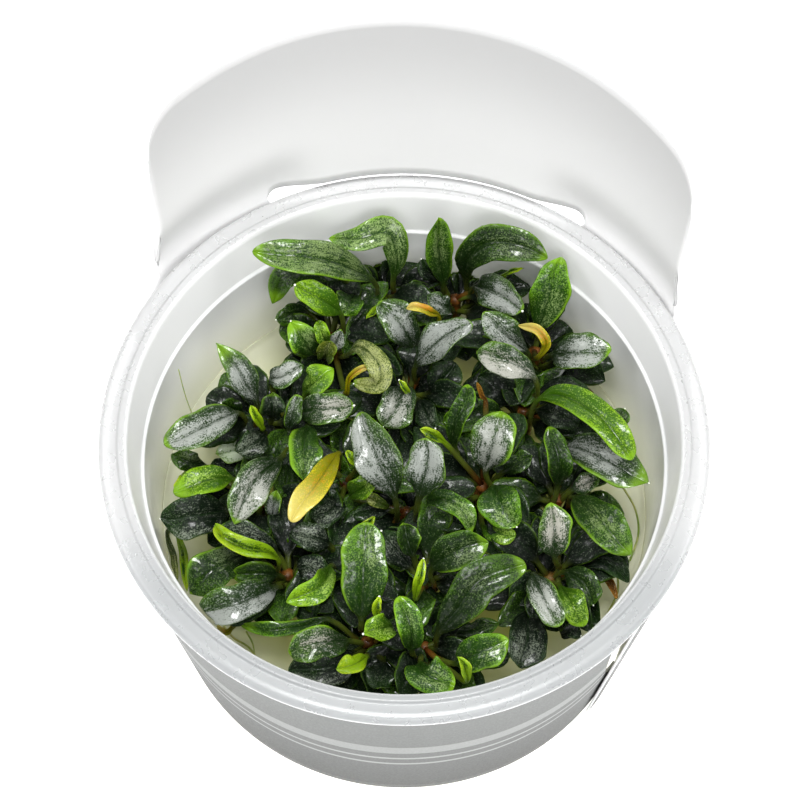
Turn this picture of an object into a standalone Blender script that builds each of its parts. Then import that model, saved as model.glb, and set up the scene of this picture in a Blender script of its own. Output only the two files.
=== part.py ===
"""Bucephalandra plantlets in an open tissue-culture cup with a card sleeve (metres, +Z up).

The origin is the middle of the cup's base. The front is -Y, and the sleeve's raised panel stands
at the back. Sizes and places are in millimetres here and become metres when a mesh is made.
"""
import math

import bmesh
import bpy
from mathutils import Matrix, Vector
from mathutils.bvhtree import BVHTree

MM = 0.001

# Cup
CUP_HEIGHT = 57.0
RIM_RADIUS = 50.0
RIM_EDGE_DROP = 1.0
MOUTH_RADIUS = 45.2
BASE_RADIUS = 40.0
BASE_CORNER = 2.2
WALL = 0.8
FLOOR = 1.5
LEDGE_HEIGHT = 48.2
LEDGE_INNER_RADIUS = 43.0
LEDGE_OUTER_RADIUS = 43.7
CUP_SEGMENTS = 40

# Nutrient gel
GEL_TOP = 28.5
GEL_GAP = 0.35
GEL_MENISCUS = 0.9
SOCKET_DEPTH = 4.0

# Card sleeve: one cone round the cup, going on upwards as a panel at the back
CARD = 0.5
CONE_RADIUS_AT_BASE = 40.88
CONE_FLARE = 0.146
SLEEVE_BOTTOM = 3.0
BAND_ROWS = (30.0, 45.0)
BAND_TOP = 53.4
SLOT_TOP = 57.9
PANEL_AXIS = 85.1
PANEL_HALF = 57.0
PANEL_TAPER = 0.045
PANEL_TOP = 96.2
PANEL_TOP_DROP = 3.2
PANEL_HIGH_SIDE = 15.0
PANEL_CORNER = 7.0
PANEL_ROWS = (0.0, 0.35, 0.7, 1.0)
SLOT_HALF = 32.0
FILLET_END = 66.0
SEAM = -40.5
SEAM_OVERLAP = 5.0
SEAM_LIFT = 0.9
NOTCH_START = 314.0
NOTCH_DEPTH = 32.0
BULGE = 2.2
BULGE_LEFT_EXTRA = 1.5
BULGE_REACH = 13.0

# Plants
STEM_RADIUS = 1.35
STEM_TIP_RADIUS = 1.0
STEM_SIDES = 6
PETIOLE = 1.0
LEAF_THICKNESS = 0.7
CLEARANCE = 0.45
WALL_CLEARANCE = 0.6
LIFT_STEP = 0.4
LIFT_LIMIT = 8.0
JOINT_STEP = 0.9
JOINT_STEPS = 8

# The plants were placed by eye from one viewpoint in front of and above the cup. A plant point is
# (x, y, z): x and y say where the line of sight through it crosses the level SIGHT_LEVEL, and z is
# its height above the cup's base.
EYE = Vector((-0.7, -222.9, 504.6))
SIGHT_LEVEL = 42.0
FACING = Vector((0.0, -0.3, 0.954))

# A stalk turns its faces the same way as the blade does at this place
STALK_FACES = 1.25

# Colour, roughness and metallic value of each finish
FINISHES = {
    "plastic": ((0.80, 0.83, 0.83), 0.30, 0.0),
    "card": ((0.62, 0.64, 0.64), 0.65, 0.0),
    "gel": ((0.80, 0.76, 0.52), 0.20, 0.0),
    "stem": ((0.33, 0.16, 0.05), 0.45, 0.0),
    "mid": ((0.08, 0.20, 0.03), 0.28, 0.0),
    "deep": ((0.03, 0.10, 0.02), 0.25, 0.0),
    "dark": ((0.015, 0.04, 0.015), 0.22, 0.0),
    "silver": ((0.25, 0.32, 0.22), 0.30, 0.0),
    "bright": ((0.20, 0.42, 0.04), 0.35, 0.0),
    "lime": ((0.40, 0.58, 0.05), 0.40, 0.0),
    "yellow": ((0.75, 0.62, 0.12), 0.45, 0.0),
    "olive": ((0.20, 0.22, 0.05), 0.35, 0.0),
    "pale": ((0.45, 0.52, 0.40), 0.30, 0.0),
}

# Each plantlet: name, top of its stem, and its leaves. A leaf is (kind, finish, width, fold, roll,
# points): "own" leaves are pieces of their own, "low" leaves grow together with the stem. Fold
# raises the edges, roll turns the blade about its midrib, and the points run from base to tip.
PLANTLETS = [
    ("back_left", (-4.0, 34.6, 40.0), [
        ("own", "mid", 6.2, 0.15, 0, [(-5.2, 36.8, 44), (-14.5, 41.2, 55), (-26.4, 42.4, 57)]),
        ("own", "mid", 5.2, 0.10, 0,
         [(-1.9, 37.0, 44), (-1.2, 41.8, 50), (-2.8, 46.5, 54), (-8.0, 45.4, 54.5),
          (-13.1, 45.0, 52)]),
        ("low", "deep", 4.8, 0.10, 0,
         [(-10.0, 37.0, 44), (-15.0, 38.9, 49), (-20.6, 37.8, 49.5), (-22.5, 32.5, 45)]),
        ("low", "mid", 5.0, 0.35, 0, [(-8.3, 34.0, 43), (-9.5, 32.2, 46.5), (-10.2, 30.0, 46)]),
    ]),
    ("upper_left", (-12.5, 26.5, 39.0), [
        ("own", "bright", 4.8, 0.10, 0, [(-10.8, 30.2, 44), (-14.2, 33.2, 50), (-18.9, 36.0, 53)]),
        ("own", "olive", 3.8, 0.20, 0,
         [(-9.8, 22.3, 45), (-7.6, 24.0, 51), (-4.4, 20.8, 54), (-4.4, 16.8, 52), (-8.6, 16.6, 49)]),
        ("low", "deep", 3.6, 0.10, 0, [(-16.5, 30.8, 40), (-22.0, 29.3, 43)]),
        ("low", "mid", 5.0, 0.20, 0, [(-15.3, 22.8, 42), (-17.2, 25.2, 47), (-19.2, 29.2, 50)]),
        ("low", "silver", 3.0, 0.15, 0, [(-12.2, 23.0, 42), (-11.6, 25.0, 45), (-10.6, 27.3, 47)]),
    ]),
    ("left_outer", (-24.2, 9.8, 39.5), [
        ("own", "silver", 4.8, 0.15, 0,
         [(-24.9, 13.0, 46), (-26.7, 16.5, 51), (-28.6, 20.2, 54), (-32.3, 24.7, 56)]),
        ("own", "silver", 6.4, 0.12, 0, [(-28.0, 11.3, 46), (-33.6, 8.8, 50.5), (-40.1, 4.9, 51)]),
        ("low", "deep", 3.6, 0.10, 0, [(-27.2, 11.0, 40), (-31.0, 13.2, 43)]),
        ("low", "pale", 4.2, 0.10, 0, [(-25.0, 5.6, 38), (-28.4, 4.4, 41), (-31.6, 3.4, 42)]),
        ("low", "dark", 4.6, 0.10, 0, [(-23.4, 7.4, 42), (-25.0, 5.8, 45.5), (-28.0, 3.7, 46)]),
        ("low", "dark", 4.2, 0.15, 0, [(-22.4, 10.2, 43), (-22.4, 12.4, 49), (-22.2, 15.3, 51)]),
    ]),
    ("left_inner", (-18.6, 8.3, 39.5), [
        ("own", "silver", 5.6, 0.10, 0, [(-17.6, 11.0, 44), (-14.0, 12.1, 49), (-8.5, 12.2, 50.5)]),
        ("own", "mid", 5.6, 0.15, 0, [(-16.3, 9.0, 44), (-16.8, 4.5, 50), (-16.4, -1.6, 50)]),
        ("own", "silver", 6.2, 0.12, 0, [(-20.6, 3.0, 44), (-25.2, -1.6, 50), (-28.3, -9.4, 48)]),
        ("low", "silver", 3.0, 0.15, 0, [(-19.0, 9.8, 43), (-18.8, 11.6, 46), (-18.5, 14.6, 49)]),
        ("low", "silver", 4.2, 0.15, 0, [(-22.6, 16.6, 43), (-20.6, 18.3, 47), (-17.2, 20.6, 48)]),
        ("low", "bright", 4.8, 0.20, 0, [(-17.0, 14.4, 43), (-14.8, 17.5, 48), (-12.3, 20.2, 49)]),
        ("low", "deep", 4.2, 0.10, 0, [(-19.0, 2.4, 41), (-19.6, -1.0, 43), (-20.0, -4.5, 43)]),
    ]),
    ("left_low", (-24.0, -5.0, 39.5), [
        ("low", "dark", 7.2, 0.10, 0, [(-28.8, -6.6, 42), (-34.5, -7.8, 46), (-40.4, -8.9, 45)]),
        ("low", "bright", 5.0, 0.20, 0, [(-28.4, -1.2, 43), (-33.0, -1.3, 46.5), (-38.4, -3.9, 46)]),
        ("low", "deep", 3.6, 0.15, 0, [(-32.6, 0.8, 41), (-36.0, 2.2, 44), (-39.0, 3.6, 46)]),
        ("low", "dark", 3.6, 0.10, 0, [(-27.6, 0.6, 38), (-33.0, 0.6, 38.5)]),
        ("low", "silver", 2.8, 0.25, 0, [(-22.0, -7.6, 42), (-21.8, -6.0, 45), (-21.0, -3.2, 47)]),
    ]),
    ("front_left", (-19.2, -18.2, 39.5), [
        ("own", "lime", 3.0, 0.60, 0,
         [(-20.6, -16.3, 44), (-22.6, -14.4, 48), (-26.3, -13.7, 50), (-30.0, -11.6, 51),
          (-31.2, -9.4, 50)]),
        ("own", "silver", 6.3, 0.10, 0, [(-21.0, -20.7, 44), (-26.8, -23.3, 49), (-34.2, -25.2, 47)]),
        ("low", "dark", 4.8, 0.10, 0, [(-20.8, -15.0, 42), (-25.0, -12.2, 46.5), (-30.8, -9.6, 46.5)]),
        ("low", "deep", 7.0, 0.10, 0, [(-25.5, -15.0, 41), (-31.2, -17.5, 45.5), (-34.8, -22.3, 43)]),
        ("low", "deep", 4.2, 0.35, 0, [(-20.8, -18.6, 42), (-24.0, -18.3, 45), (-28.4, -18.4, 44)]),
        ("low", "dark", 4.8, 0.10, 0, [(-17.6, -17.6, 41), (-15.6, -17.2, 43), (-12.8, -19.6, 42.5)]),
    ]),
    ("low_left", (-11.0, -14.8, 39.0), [
        ("own", "bright", 4.2, 0.30, 0, [(-12.2, -17.0, 44), (-13.9, -20.6, 50), (-19.4, -23.3, 50.5)]),
        ("low", "dark", 4.8, 0.10, 0, [(-12.3, -13.2, 43), (-15.0, -11.8, 45.5), (-19.0, -10.9, 46)]),
    ]),
    ("inner_left", (-9.8, -1.2, 39.5), [
        ("own", "yellow", 4.4, 0.12, 0, [(-11.0, 3.8, 46), (-14.6, -1.9, 51), (-19.2, -8.6, 51)]),
        ("low", "dark", 4.6, 0.10, 0, [(-10.6, -4.6, 42), (-12.5, -7.0, 44.5), (-15.6, -8.2, 44.5)]),
        ("low", "mid", 3.6, 0.35, 0, [(-8.6, -3.2, 43), (-6.9, -2.6, 46.5), (-5.3, -0.8, 48.5)]),
        ("low", "silver", 3.2, 0.10, 0, [(-11.0, -3.0, 42), (-12.6, -2.6, 45)]),
    ]),
    ("centre", (0.5, -6.8, 40.0), [
        ("own", "silver", 7.2, 0.12, 0, [(-1.5, -4.8, 44), (-4.3, 2.6, 51), (-8.0, 11.2, 53)]),
        ("own", "silver", 6.8, 0.12, 0, [(2.4, -4.6, 44), (3.7, 0.6, 50), (4.2, 6.6, 54)]),
        ("low", "mid", 3.8, 0.15, 0,
         [(2.8, -5.6, 44), (6.5, -4.8, 49), (9.6, -6.8, 50), (11.2, -10.8, 48)]),
        ("low", "dark", 4.0, 0.10, 0, [(3.0, -7.8, 42), (6.5, -8.5, 44), (10.0, -9.3, 44)]),
        ("low", "dark", 3.0, 0.10, 0, [(-2.5, -6.8, 42), (-8.5, -7.6, 44)]),
    ]),
    ("centre_back", (0.8, 15.2, 39.5), [
        ("own", "silver", 5.8, 0.10, 0, [(1.9, 20.2, 45), (6.0, 25.2, 51), (11.5, 29.1, 54)]),
        ("own", "silver", 6.2, 0.12, 0, [(1.6, 23.4, 43), (-0.6, 28.4, 49), (-4.2, 33.1, 51)]),
        ("low", "silver", 6.4, 0.12, 0, [(0.4, 16.6, 44), (-1.2, 12.6, 48), (-3.4, 8.6, 47)]),
        ("low", "dark", 4.0, 0.10, 0, [(2.4, 13.8, 43), (5.0, 8.2, 46.5)]),
        ("low", "dark", 5.5, 0.10, 0, [(4.2, 14.9, 42), (6.5, 17.5, 45), (9.0, 20.8, 46)]),
    ]),
    ("back_right", (8.8, 33.8, 39.5), [
        ("own", "mid", 4.8, 0.15, 0, [(6.8, 36.0, 42), (6.1, 42.5, 50), (5.9, 49.6, 57.5)]),
        ("own", "deep", 6.2, 0.15, 0,
         [(10.8, 36.2, 43), (10.9, 41.0, 51), (14.6, 44.4, 56.5), (20.0, 44.0, 58), (24.9, 41.3, 56.5)]),
        ("own", "silver", 5.8, 0.12, 0, [(12.0, 35.6, 44), (15.6, 34.8, 50), (20.4, 31.1, 51.5)]),
        ("low", "dark", 3.0, 0.10, 0, [(6.4, 36.6, 41), (4.0, 38.8, 44), (3.2, 41.4, 46)]),
        ("low", "silver", 3.8, 0.15, 0, [(8.0, 31.6, 44), (6.4, 32.2, 46.5), (3.9, 33.7, 47.5)]),
        ("low", "dark", 3.4, 0.10, 0, [(5.0, 34.4, 40.5), (0.0, 35.3, 42)]),
    ]),
    ("right_high", (22.4, 23.6, 39.5), [
        ("own", "silver", 5.3, 0.10, 0, [(21.0, 22.9, 45), (17.5, 26.2, 51), (13.8, 31.0, 53)]),
        ("own", "mid", 6.6, 0.12, 0, [(23.0, 27.2, 44), (25.0, 34.0, 51), (26.6, 41.8, 56.5)]),
        ("own", "silver", 6.6, 0.12, 0, [(25.0, 22.4, 44), (29.3, 22.9, 49.5), (35.4, 22.9, 51)]),
    ]),
    ("right", (20.3, 12.2, 39.0), [
        ("own", "silver", 5.4, 0.10, 0, [(22.3, 17.8, 48), (17.6, 21.3, 51.5), (12.4, 23.2, 50.5)]),
        ("own", "bright", 5.2, 0.20, 0,
         [(22.3, 13.4, 45), (26.6, 14.6, 50.5), (32.4, 11.2, 54), (35.9, 6.6, 54), (37.9, 2.3, 52)]),
        ("low", "dark", 4.6, 0.10, 0, [(22.5, 15.0, 42), (27.5, 15.8, 45.5), (31.8, 13.9, 46)]),
        ("low", "dark", 4.6, 0.10, 0, [(22.4, 11.8, 42), (25.5, 11.2, 45.5), (29.5, 9.2, 45)]),
    ]),
    ("right_low", (25.7, -4.5, 39.0), [
        ("own", "silver", 7.4, 0.12, 0, [(27.0, 4.6, 44), (33.0, 3.0, 49.5), (40.6, -2.2, 49)]),
        ("own", "mid", 6.6, 0.12, 0, [(28.2, -4.4, 43.5), (32.6, -8.7, 49), (37.2, -15.1, 48)]),
        ("own", "deep", 4.3, 0.25, 0, [(25.6, -2.6, 44), (25.9, 2.4, 51), (24.1, 8.7, 54)]),
        ("low", "silver", 3.6, 0.10, 0, [(28.0, -3.2, 42), (32.5, -0.8, 44)]),
    ]),
    ("centre_right", (13.2, -2.0, 39.0), [
        ("own", "silver", 7.4, 0.12, 0, [(13.6, 0.4, 44), (14.9, 5.6, 51), (16.2, 11.8, 53.5)]),
        ("own", "mid", 6.8, 0.12, 0, [(14.8, -2.4, 45), (15.9, -5.4, 49.5), (18.4, -10.0, 48)]),
        ("low", "deep", 3.4, 0.45, 0,
         [(8.8, 4.0, 43), (8.6, 9.0, 49), (10.3, 13.0, 52), (11.0, 16.8, 52)]),
        ("low", "deep", 3.6, 0.15, 0, [(16.5, 0.2, 42), (21.4, 3.4, 45.5)]),
        ("low", "bright", 3.4, 0.10, 0, [(13.0, -9.6, 42), (15.6, -11.0, 45.5), (18.4, -11.8, 46)]),
    ]),
    ("front_middle", (3.2, -19.6, 39.0), [
        ("own", "deep", 6.4, 0.15, 0, [(4.4, -17.6, 45), (8.6, -14.2, 50.5), (13.8, -12.1, 52)]),
        ("low", "dark", 4.6, 0.12, 0, [(1.3, -17.6, 41), (-1.4, -14.0, 43.5), (-4.0, -10.8, 44)]),
        ("low", "dark", 3.4, 0.10, 0, [(4.4, -15.0, 41), (2.8, -11.0, 43.5)]),
        ("low", "deep", 4.0, 0.60, 0, [(1.6, -15.5, 44), (0.4, -12.0, 47), (0.0, -9.0, 48.5)]),
    ]),
    ("front_right", (24.2, -18.8, 39.0), [
        ("own", "silver", 4.9, 0.10, 0, [(21.2, -18.4, 46), (22.8, -22.4, 51), (25.2, -27.8, 50)]),
        ("own", "silver", 5.7, 0.15, 0, [(24.8, -15.4, 46), (24.9, -11.0, 51), (24.7, -5.3, 53.5)]),
        ("low", "bright", 4.5, 0.15, 0, [(25.6, -20.6, 43), (27.3, -23.4, 47.5), (29.1, -27.8, 46)]),
        ("low", "deep", 5.0, 0.10, 0, [(26.2, -18.0, 42), (29.5, -20.0, 44.5), (31.2, -23.8, 43.5)]),
        ("low", "dark", 3.7, 0.20, 0, [(28.4, -16.8, 39), (33.2, -16.1, 42), (37.0, -19.8, 40.5)]),
        ("low", "dark", 6.8, 0.10, 0, [(20.6, -24.4, 40), (20.0, -30.0, 44), (18.6, -35.0, 44)]),
    ]),
    ("front", (3.2, -31.2, 39.0), [
        ("own", "deep", 6.8, 0.12, 0,
         [(5.4, -29.2, 44), (8.8, -24.6, 48.5), (12.6, -19.4, 52.5), (20.0, -16.3, 53)]),
        ("own", "mid", 4.4, 0.25, 0, [(1.2, -32.0, 43), (1.0, -28.0, 49.5), (-0.9, -22.3, 52)]),
        ("own", "mid", 6.0, 0.12, 0, [(8.2, -34.2, 44), (12.0, -32.4, 49.5), (17.0, -29.9, 50.5)]),
        ("low", "mid", 6.2, 0.12, 0, [(2.6, -34.0, 43), (3.6, -36.2, 47), (8.2, -38.0, 46.5)]),
        ("low", "deep", 3.2, 0.10, 0, [(8.0, -29.6, 41), (11.6, -28.4, 43), (15.4, -26.9, 44)]),
    ]),
    ("front_centre", (-6.0, -30.2, 39.0), [
        ("own", "mid", 7.8, 0.12, 0, [(-7.0, -26.6, 43.5), (-6.7, -18.0, 50.5), (-6.3, -8.9, 53.5)]),
        ("own", "lime", 3.2, 0.30, 0, [(-6.2, -33.0, 46.5), (-8.2, -34.4, 50), (-11.1, -35.1, 50)]),
        ("low", "silver", 5.6, 0.12, 0, [(-8.8, -30.3, 43), (-13.6, -30.6, 48), (-18.9, -31.9, 47)]),
        ("low", "bright", 4.4, 0.25, 0, [(-2.2, -28.0, 45), (-3.8, -28.0, 49.5), (-6.8, -28.7, 51)]),
        ("low", "dark", 6.5, 0.10, 0, [(-8.2, -33.0, 42), (-12.5, -35.0, 46), (-18.8, -35.3, 45)]),
        ("low", "dark", 5.0, 0.10, 0, [(-3.4, -34.0, 40), (-4.6, -38.4, 43.5)]),
        ("low", "mid", 2.6, 0.35, 0,
         [(-12.0, -26.6, 42), (-16.6, -27.7, 43.5), (-22.0, -28.4, 44), (-27.1, -27.3, 42.5)]),
    ]),
]

# How far along a leaf its sections lie: 0 to 1 is the stalk, and 1 to 2 the blade without its tip
OWN_STATIONS = (0.0, 0.5, 1.0, 1.14, 1.36, 1.6, 1.88)
LOW_STATIONS = (0.0, 1.0, 1.2, 1.5, 1.85)


def smooth(low, high, value):
    """Rise from 0 at low to 1 at high without a corner at either end."""
    share = min(1.0, max(0.0, (value - low) / (high - low)))
    return share * share * (3.0 - 2.0 * share)


def clear_scene():
    """Remove whatever the file opened with."""
    for item in list(bpy.data.objects):
        bpy.data.objects.remove(item, do_unlink=True)


def new_collection(name):
    """A collection linked to the scene."""
    collection = bpy.data.collections.new(name)
    bpy.context.scene.collection.children.link(collection)
    return collection


def new_material(name, finish):
    """A plain Principled material for one piece."""
    colour, roughness, metallic = FINISHES[finish]
    material = bpy.data.materials.new(name)
    material.use_nodes = True
    shader = material.node_tree.nodes["Principled BSDF"]
    shader.inputs["Base Color"].default_value = (*colour, 1.0)
    shader.inputs["Roughness"].default_value = roughness
    shader.inputs["Metallic"].default_value = metallic
    return material


def new_piece(name, vertices, edges, faces, finish, collection):
    """A mesh object from points in millimetres, with its own material."""
    mesh = bpy.data.meshes.new(name)
    mesh.from_pydata([Vector(vertex) * MM for vertex in vertices], edges, faces)
    mesh.materials.append(new_material(name, finish))
    mesh.shade_smooth()
    piece = bpy.data.objects.new(name, mesh)
    collection.objects.link(piece)
    return piece


def make_guide(piece):
    """Mark an object as one that only cuts or joins others."""
    piece.hide_render = True
    piece.display_type = "WIRE"


def turn(piece, segments):
    """Turn a profile in the XZ plane once round the Z axis."""
    screw = piece.modifiers.new("Turn", "SCREW")
    screw.steps = segments
    screw.render_steps = segments
    screw.use_merge_vertices = True
    screw.merge_threshold = 0.00001


def turned_piece(name, profile, finish, collection):
    """A solid turned from an open profile that starts and ends on the axis."""
    points = [(radius, 0.0, height) for radius, height in profile]
    edges = [(i, i + 1) for i in range(len(points) - 1)]
    piece = new_piece(name, points, edges, [], finish, collection)
    turn(piece, CUP_SEGMENTS)
    return piece


def inner_wall(height):
    """The radius of the cup's inside at a height."""
    if height > LEDGE_HEIGHT:
        share = (height - LEDGE_HEIGHT) / (CUP_HEIGHT - LEDGE_HEIGHT)
        return LEDGE_OUTER_RADIUS + share * (MOUTH_RADIUS - LEDGE_OUTER_RADIUS)
    share = (height - FLOOR) / (LEDGE_HEIGHT - FLOOR)
    return BASE_RADIUS - WALL + share * (LEDGE_INNER_RADIUS - BASE_RADIUS + WALL)


def make_cup(collection):
    """The thin plastic cup: floor, drafted wall, a ledge inside and a rounded flange."""
    inside = [
        (0.0, FLOOR),
        (inner_wall(FLOOR) - BASE_CORNER, FLOOR),
        (inner_wall(FLOOR + BASE_CORNER), FLOOR + BASE_CORNER),
        (inner_wall(LEDGE_HEIGHT - 0.5), LEDGE_HEIGHT - 0.5),
        (LEDGE_OUTER_RADIUS, LEDGE_HEIGHT + 0.2),
    ]
    flange = [
        (MOUTH_RADIUS, CUP_HEIGHT - 0.6),
        (MOUTH_RADIUS + 0.8, CUP_HEIGHT),
        (RIM_RADIUS - 1.2, CUP_HEIGHT - 0.5),
        (RIM_RADIUS - 0.3, CUP_HEIGHT - RIM_EDGE_DROP),
        (RIM_RADIUS, CUP_HEIGHT - RIM_EDGE_DROP - 0.6),
        (RIM_RADIUS - 0.2, CUP_HEIGHT - RIM_EDGE_DROP - 1.3),
        (RIM_RADIUS - 1.0, CUP_HEIGHT - RIM_EDGE_DROP - 0.8),
        (MOUTH_RADIUS + 1.4, CUP_HEIGHT - RIM_EDGE_DROP - 0.3),
    ]
    outside = [
        (MOUTH_RADIUS + 0.7, CUP_HEIGHT - 2.2),
        (LEDGE_OUTER_RADIUS + WALL, LEDGE_HEIGHT - 0.4),
        (LEDGE_INNER_RADIUS + WALL - 0.2, LEDGE_HEIGHT - 1.4),
        (BASE_RADIUS + 0.1, BASE_CORNER),
        (BASE_RADIUS - 0.6, 0.6),
        (BASE_RADIUS - BASE_CORNER, 0.0),
        (0.0, 0.0),
    ]
    return turned_piece("cup", inside + flange + outside, "plastic", collection)


def sockets(collection):
    """Guides for the holes in the gel that the stems stand in."""
    guides = []
    for name, top, _ in PLANTLETS:
        work = stem_cylinder(top, STEM_RADIUS + 1.5 * GEL_GAP, GEL_GAP, MM)
        mesh = bpy.data.meshes.new(f"socket_{name}")
        work.to_mesh(mesh)
        work.free()
        guide = bpy.data.objects.new(mesh.name, mesh)
        collection.objects.link(guide)
        make_guide(guide)
        guides.append(guide)
    return guides


def make_gel(collection, guides_collection):
    """The block of gel, a little clear of the wall, with a raised rim where it wets the wall."""
    bottom = FLOOR + GEL_GAP
    edge = inner_wall(GEL_TOP) - GEL_GAP
    profile = [
        (0.0, GEL_TOP),
        (edge - 2.5, GEL_TOP),
        (edge, GEL_TOP + GEL_MENISCUS),
        (inner_wall(FLOOR + BASE_CORNER) - GEL_GAP, bottom + BASE_CORNER),
        (inner_wall(FLOOR) - BASE_CORNER - GEL_GAP, bottom),
        (0.0, bottom),
    ]
    gel = turned_piece("nutrient_gel", profile, "gel", collection)
    for guide in sockets(guides_collection):
        cut = gel.modifiers.new(guide.name, "BOOLEAN")
        cut.operation = "DIFFERENCE"
        cut.object = guide
    return gel


def panel_top(angle):
    """Height of the panel's top edge, angle measured from the panel's axis, without its corners."""
    return PANEL_TOP - PANEL_TOP_DROP * ((angle - PANEL_HIGH_SIDE) / PANEL_HALF) ** 2


def rounded_top(angle):
    """The panel's top edge with its corners rounded."""
    top = panel_top(angle)
    from_edge = math.radians(PANEL_HALF - abs(angle)) * RIM_RADIUS
    if from_edge >= PANEL_CORNER:
        return top
    return top - PANEL_CORNER + math.sqrt(PANEL_CORNER ** 2 - (PANEL_CORNER - from_edge) ** 2)


def fillet_top(angle):
    """Height of the band's top edge where it sweeps up into the panel's side."""
    share = (FILLET_END - abs(angle)) / (FILLET_END - PANEL_HALF)
    return BAND_TOP + (SLOT_TOP - BAND_TOP) * (1.0 - math.sqrt(max(0.0, 1.0 - share ** 2)))


def notch_top(azimuth):
    """Height of the band's inner end, whose corner is cut away in a curve beside the seam."""
    share = (azimuth - NOTCH_START) / (360.0 + SEAM + SEAM_OVERLAP - NOTCH_START)
    return BAND_TOP - NOTCH_DEPTH * (1.0 - (1.0 - share) ** 2.8)


def card_radius(azimuth, height):
    """Outer radius of the sleeve: a cone that swells round the flange and lifts over its seam."""
    angle = azimuth - PANEL_AXIS
    radius = CONE_RADIUS_AT_BASE + CONE_FLARE * height
    beside = smooth(SLOT_HALF - 12.0, SLOT_HALF, abs(angle))
    beside *= 1.0 - smooth(FILLET_END - 2.0, FILLET_END + 8.0, abs(angle))
    near_rim = 1.0 - smooth(0.0, BULGE_REACH, abs(height - CUP_HEIGHT))
    swell = BULGE + BULGE_LEFT_EXTRA * smooth(SLOT_HALF, PANEL_HALF, angle)
    radius += swell * beside * near_rim
    return radius + SEAM_LIFT * (1.0 - smooth(SEAM, SEAM + 24.0, azimuth))


def sleeve_columns():
    """Azimuths of the sleeve's columns, closer together where its outline turns."""
    right = PANEL_AXIS - PANEL_HALF
    left = PANEL_AXIS + PANEL_HALF
    columns = [SEAM, -32.0, -24.0, -15.0, -6.0, 3.0, 12.0]
    columns += [PANEL_AXIS - FILLET_END, right - 5.5, right - 2.0]
    columns += [right, right + 1.2, right + 3.2, right + 6.2, right + 10.0, right + 17.0]
    middle = [-SLOT_HALF - 2.0, -SLOT_HALF + 1.0, -21.0, -10.5, 0.0]
    columns += [PANEL_AXIS + angle for angle in middle]
    columns += [PANEL_AXIS - angle for angle in reversed(middle[:-1])]
    columns += [left - 17.0, left - 10.0, left - 6.2, left - 3.2, left - 1.2, left]
    columns += [left + 2.0, left + 5.5, PANEL_AXIS + FILLET_END]
    columns += [161.0 + 12.0 * i for i in range(13)]
    columns += [NOTCH_START, 316.5, 319.5, 322.0, 360.0 + SEAM + SEAM_OVERLAP]
    return columns


def column_heights(azimuth):
    """Heights of the sleeve's rows at an azimuth, from its bottom edge to its top edge."""
    angle = azimuth - PANEL_AXIS
    band = [SLEEVE_BOTTOM, *BAND_ROWS, BAND_TOP]
    if azimuth >= NOTCH_START:
        squeeze = (notch_top(azimuth) - SLEEVE_BOTTOM) / (BAND_TOP - SLEEVE_BOTTOM)
        return [SLEEVE_BOTTOM + squeeze * (height - SLEEVE_BOTTOM) for height in band]
    if abs(angle) > FILLET_END - 0.01:
        return band
    if abs(angle) > PANEL_HALF + 0.01:
        return band + [fillet_top(angle)]
    rise = rounded_top(angle) - SLOT_TOP
    return band + [SLOT_TOP + share * rise for share in PANEL_ROWS]


def card_point(azimuth, height):
    """A point on the sleeve's outer face. The panel narrows a little towards its top."""
    angle = azimuth - PANEL_AXIS
    narrowed = 1.0 - PANEL_TAPER * smooth(SLOT_TOP, PANEL_TOP, height)
    turned = math.radians(PANEL_AXIS + angle * narrowed)
    radius = card_radius(azimuth, height)
    return (radius * math.cos(turned), radius * math.sin(turned), height)


def make_sleeve(collection):
    """The card sleeve: an open sheet wrapped on the cone, given the card's thickness."""
    points = []
    index = []
    columns = sleeve_columns()
    for azimuth in columns:
        heights = column_heights(azimuth)
        index.append(list(range(len(points), len(points) + len(heights))))
        points += [card_point(azimuth, height) for height in heights]
    faces = []
    slot_row = len(BAND_ROWS) + 1
    for column in range(len(columns) - 1):
        angle = 0.5 * (columns[column] + columns[column + 1]) - PANEL_AXIS
        here, there = index[column], index[column + 1]
        shorter, longer = sorted((here, there), key=len)
        for row in range(len(shorter) - 1):
            if row == slot_row and abs(angle) < SLOT_HALF:
                continue
            faces.append((here[row], there[row], there[row + 1], here[row + 1]))
        if len(longer) == len(shorter) + 1:
            last = len(shorter) - 1
            faces.append((here[last], there[last], longer[-1]))
    sleeve = new_piece("sleeve", points, [], faces, "card", collection)
    thicken = sleeve.modifiers.new("Card", "SOLIDIFY")
    thicken.thickness = CARD * MM
    thicken.offset = -1.0
    return sleeve


def seen(x, y, z, lift=0.0):
    """The place of a plant point, raised by lift along its line of sight."""
    crossing = Vector((x, y, SIGHT_LEVEL))
    share = (EYE.z - z - lift) / (EYE.z - SIGHT_LEVEL)
    return EYE + (crossing - EYE) * share


def kept_inside(point):
    """The point, moved in from the cup's wall and up from the gel where it would touch them."""
    height = max(point.z, GEL_TOP + GEL_MENISCUS + 0.2)
    limit = inner_wall(height) - WALL_CLEARANCE
    radius = math.hypot(point.x, point.y)
    squeeze = min(1.0, limit / radius) if radius > 0.0 else 1.0
    return Vector((point.x * squeeze, point.y * squeeze, height))


def stem_ends(top):
    """Foot and top of a stem. The foot stands in the gel, a little towards the cup's middle."""
    upper = seen(*top)
    foot = Vector((upper.x * 0.94, upper.y * 0.94, GEL_TOP - SOCKET_DEPTH))
    return foot, upper


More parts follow.
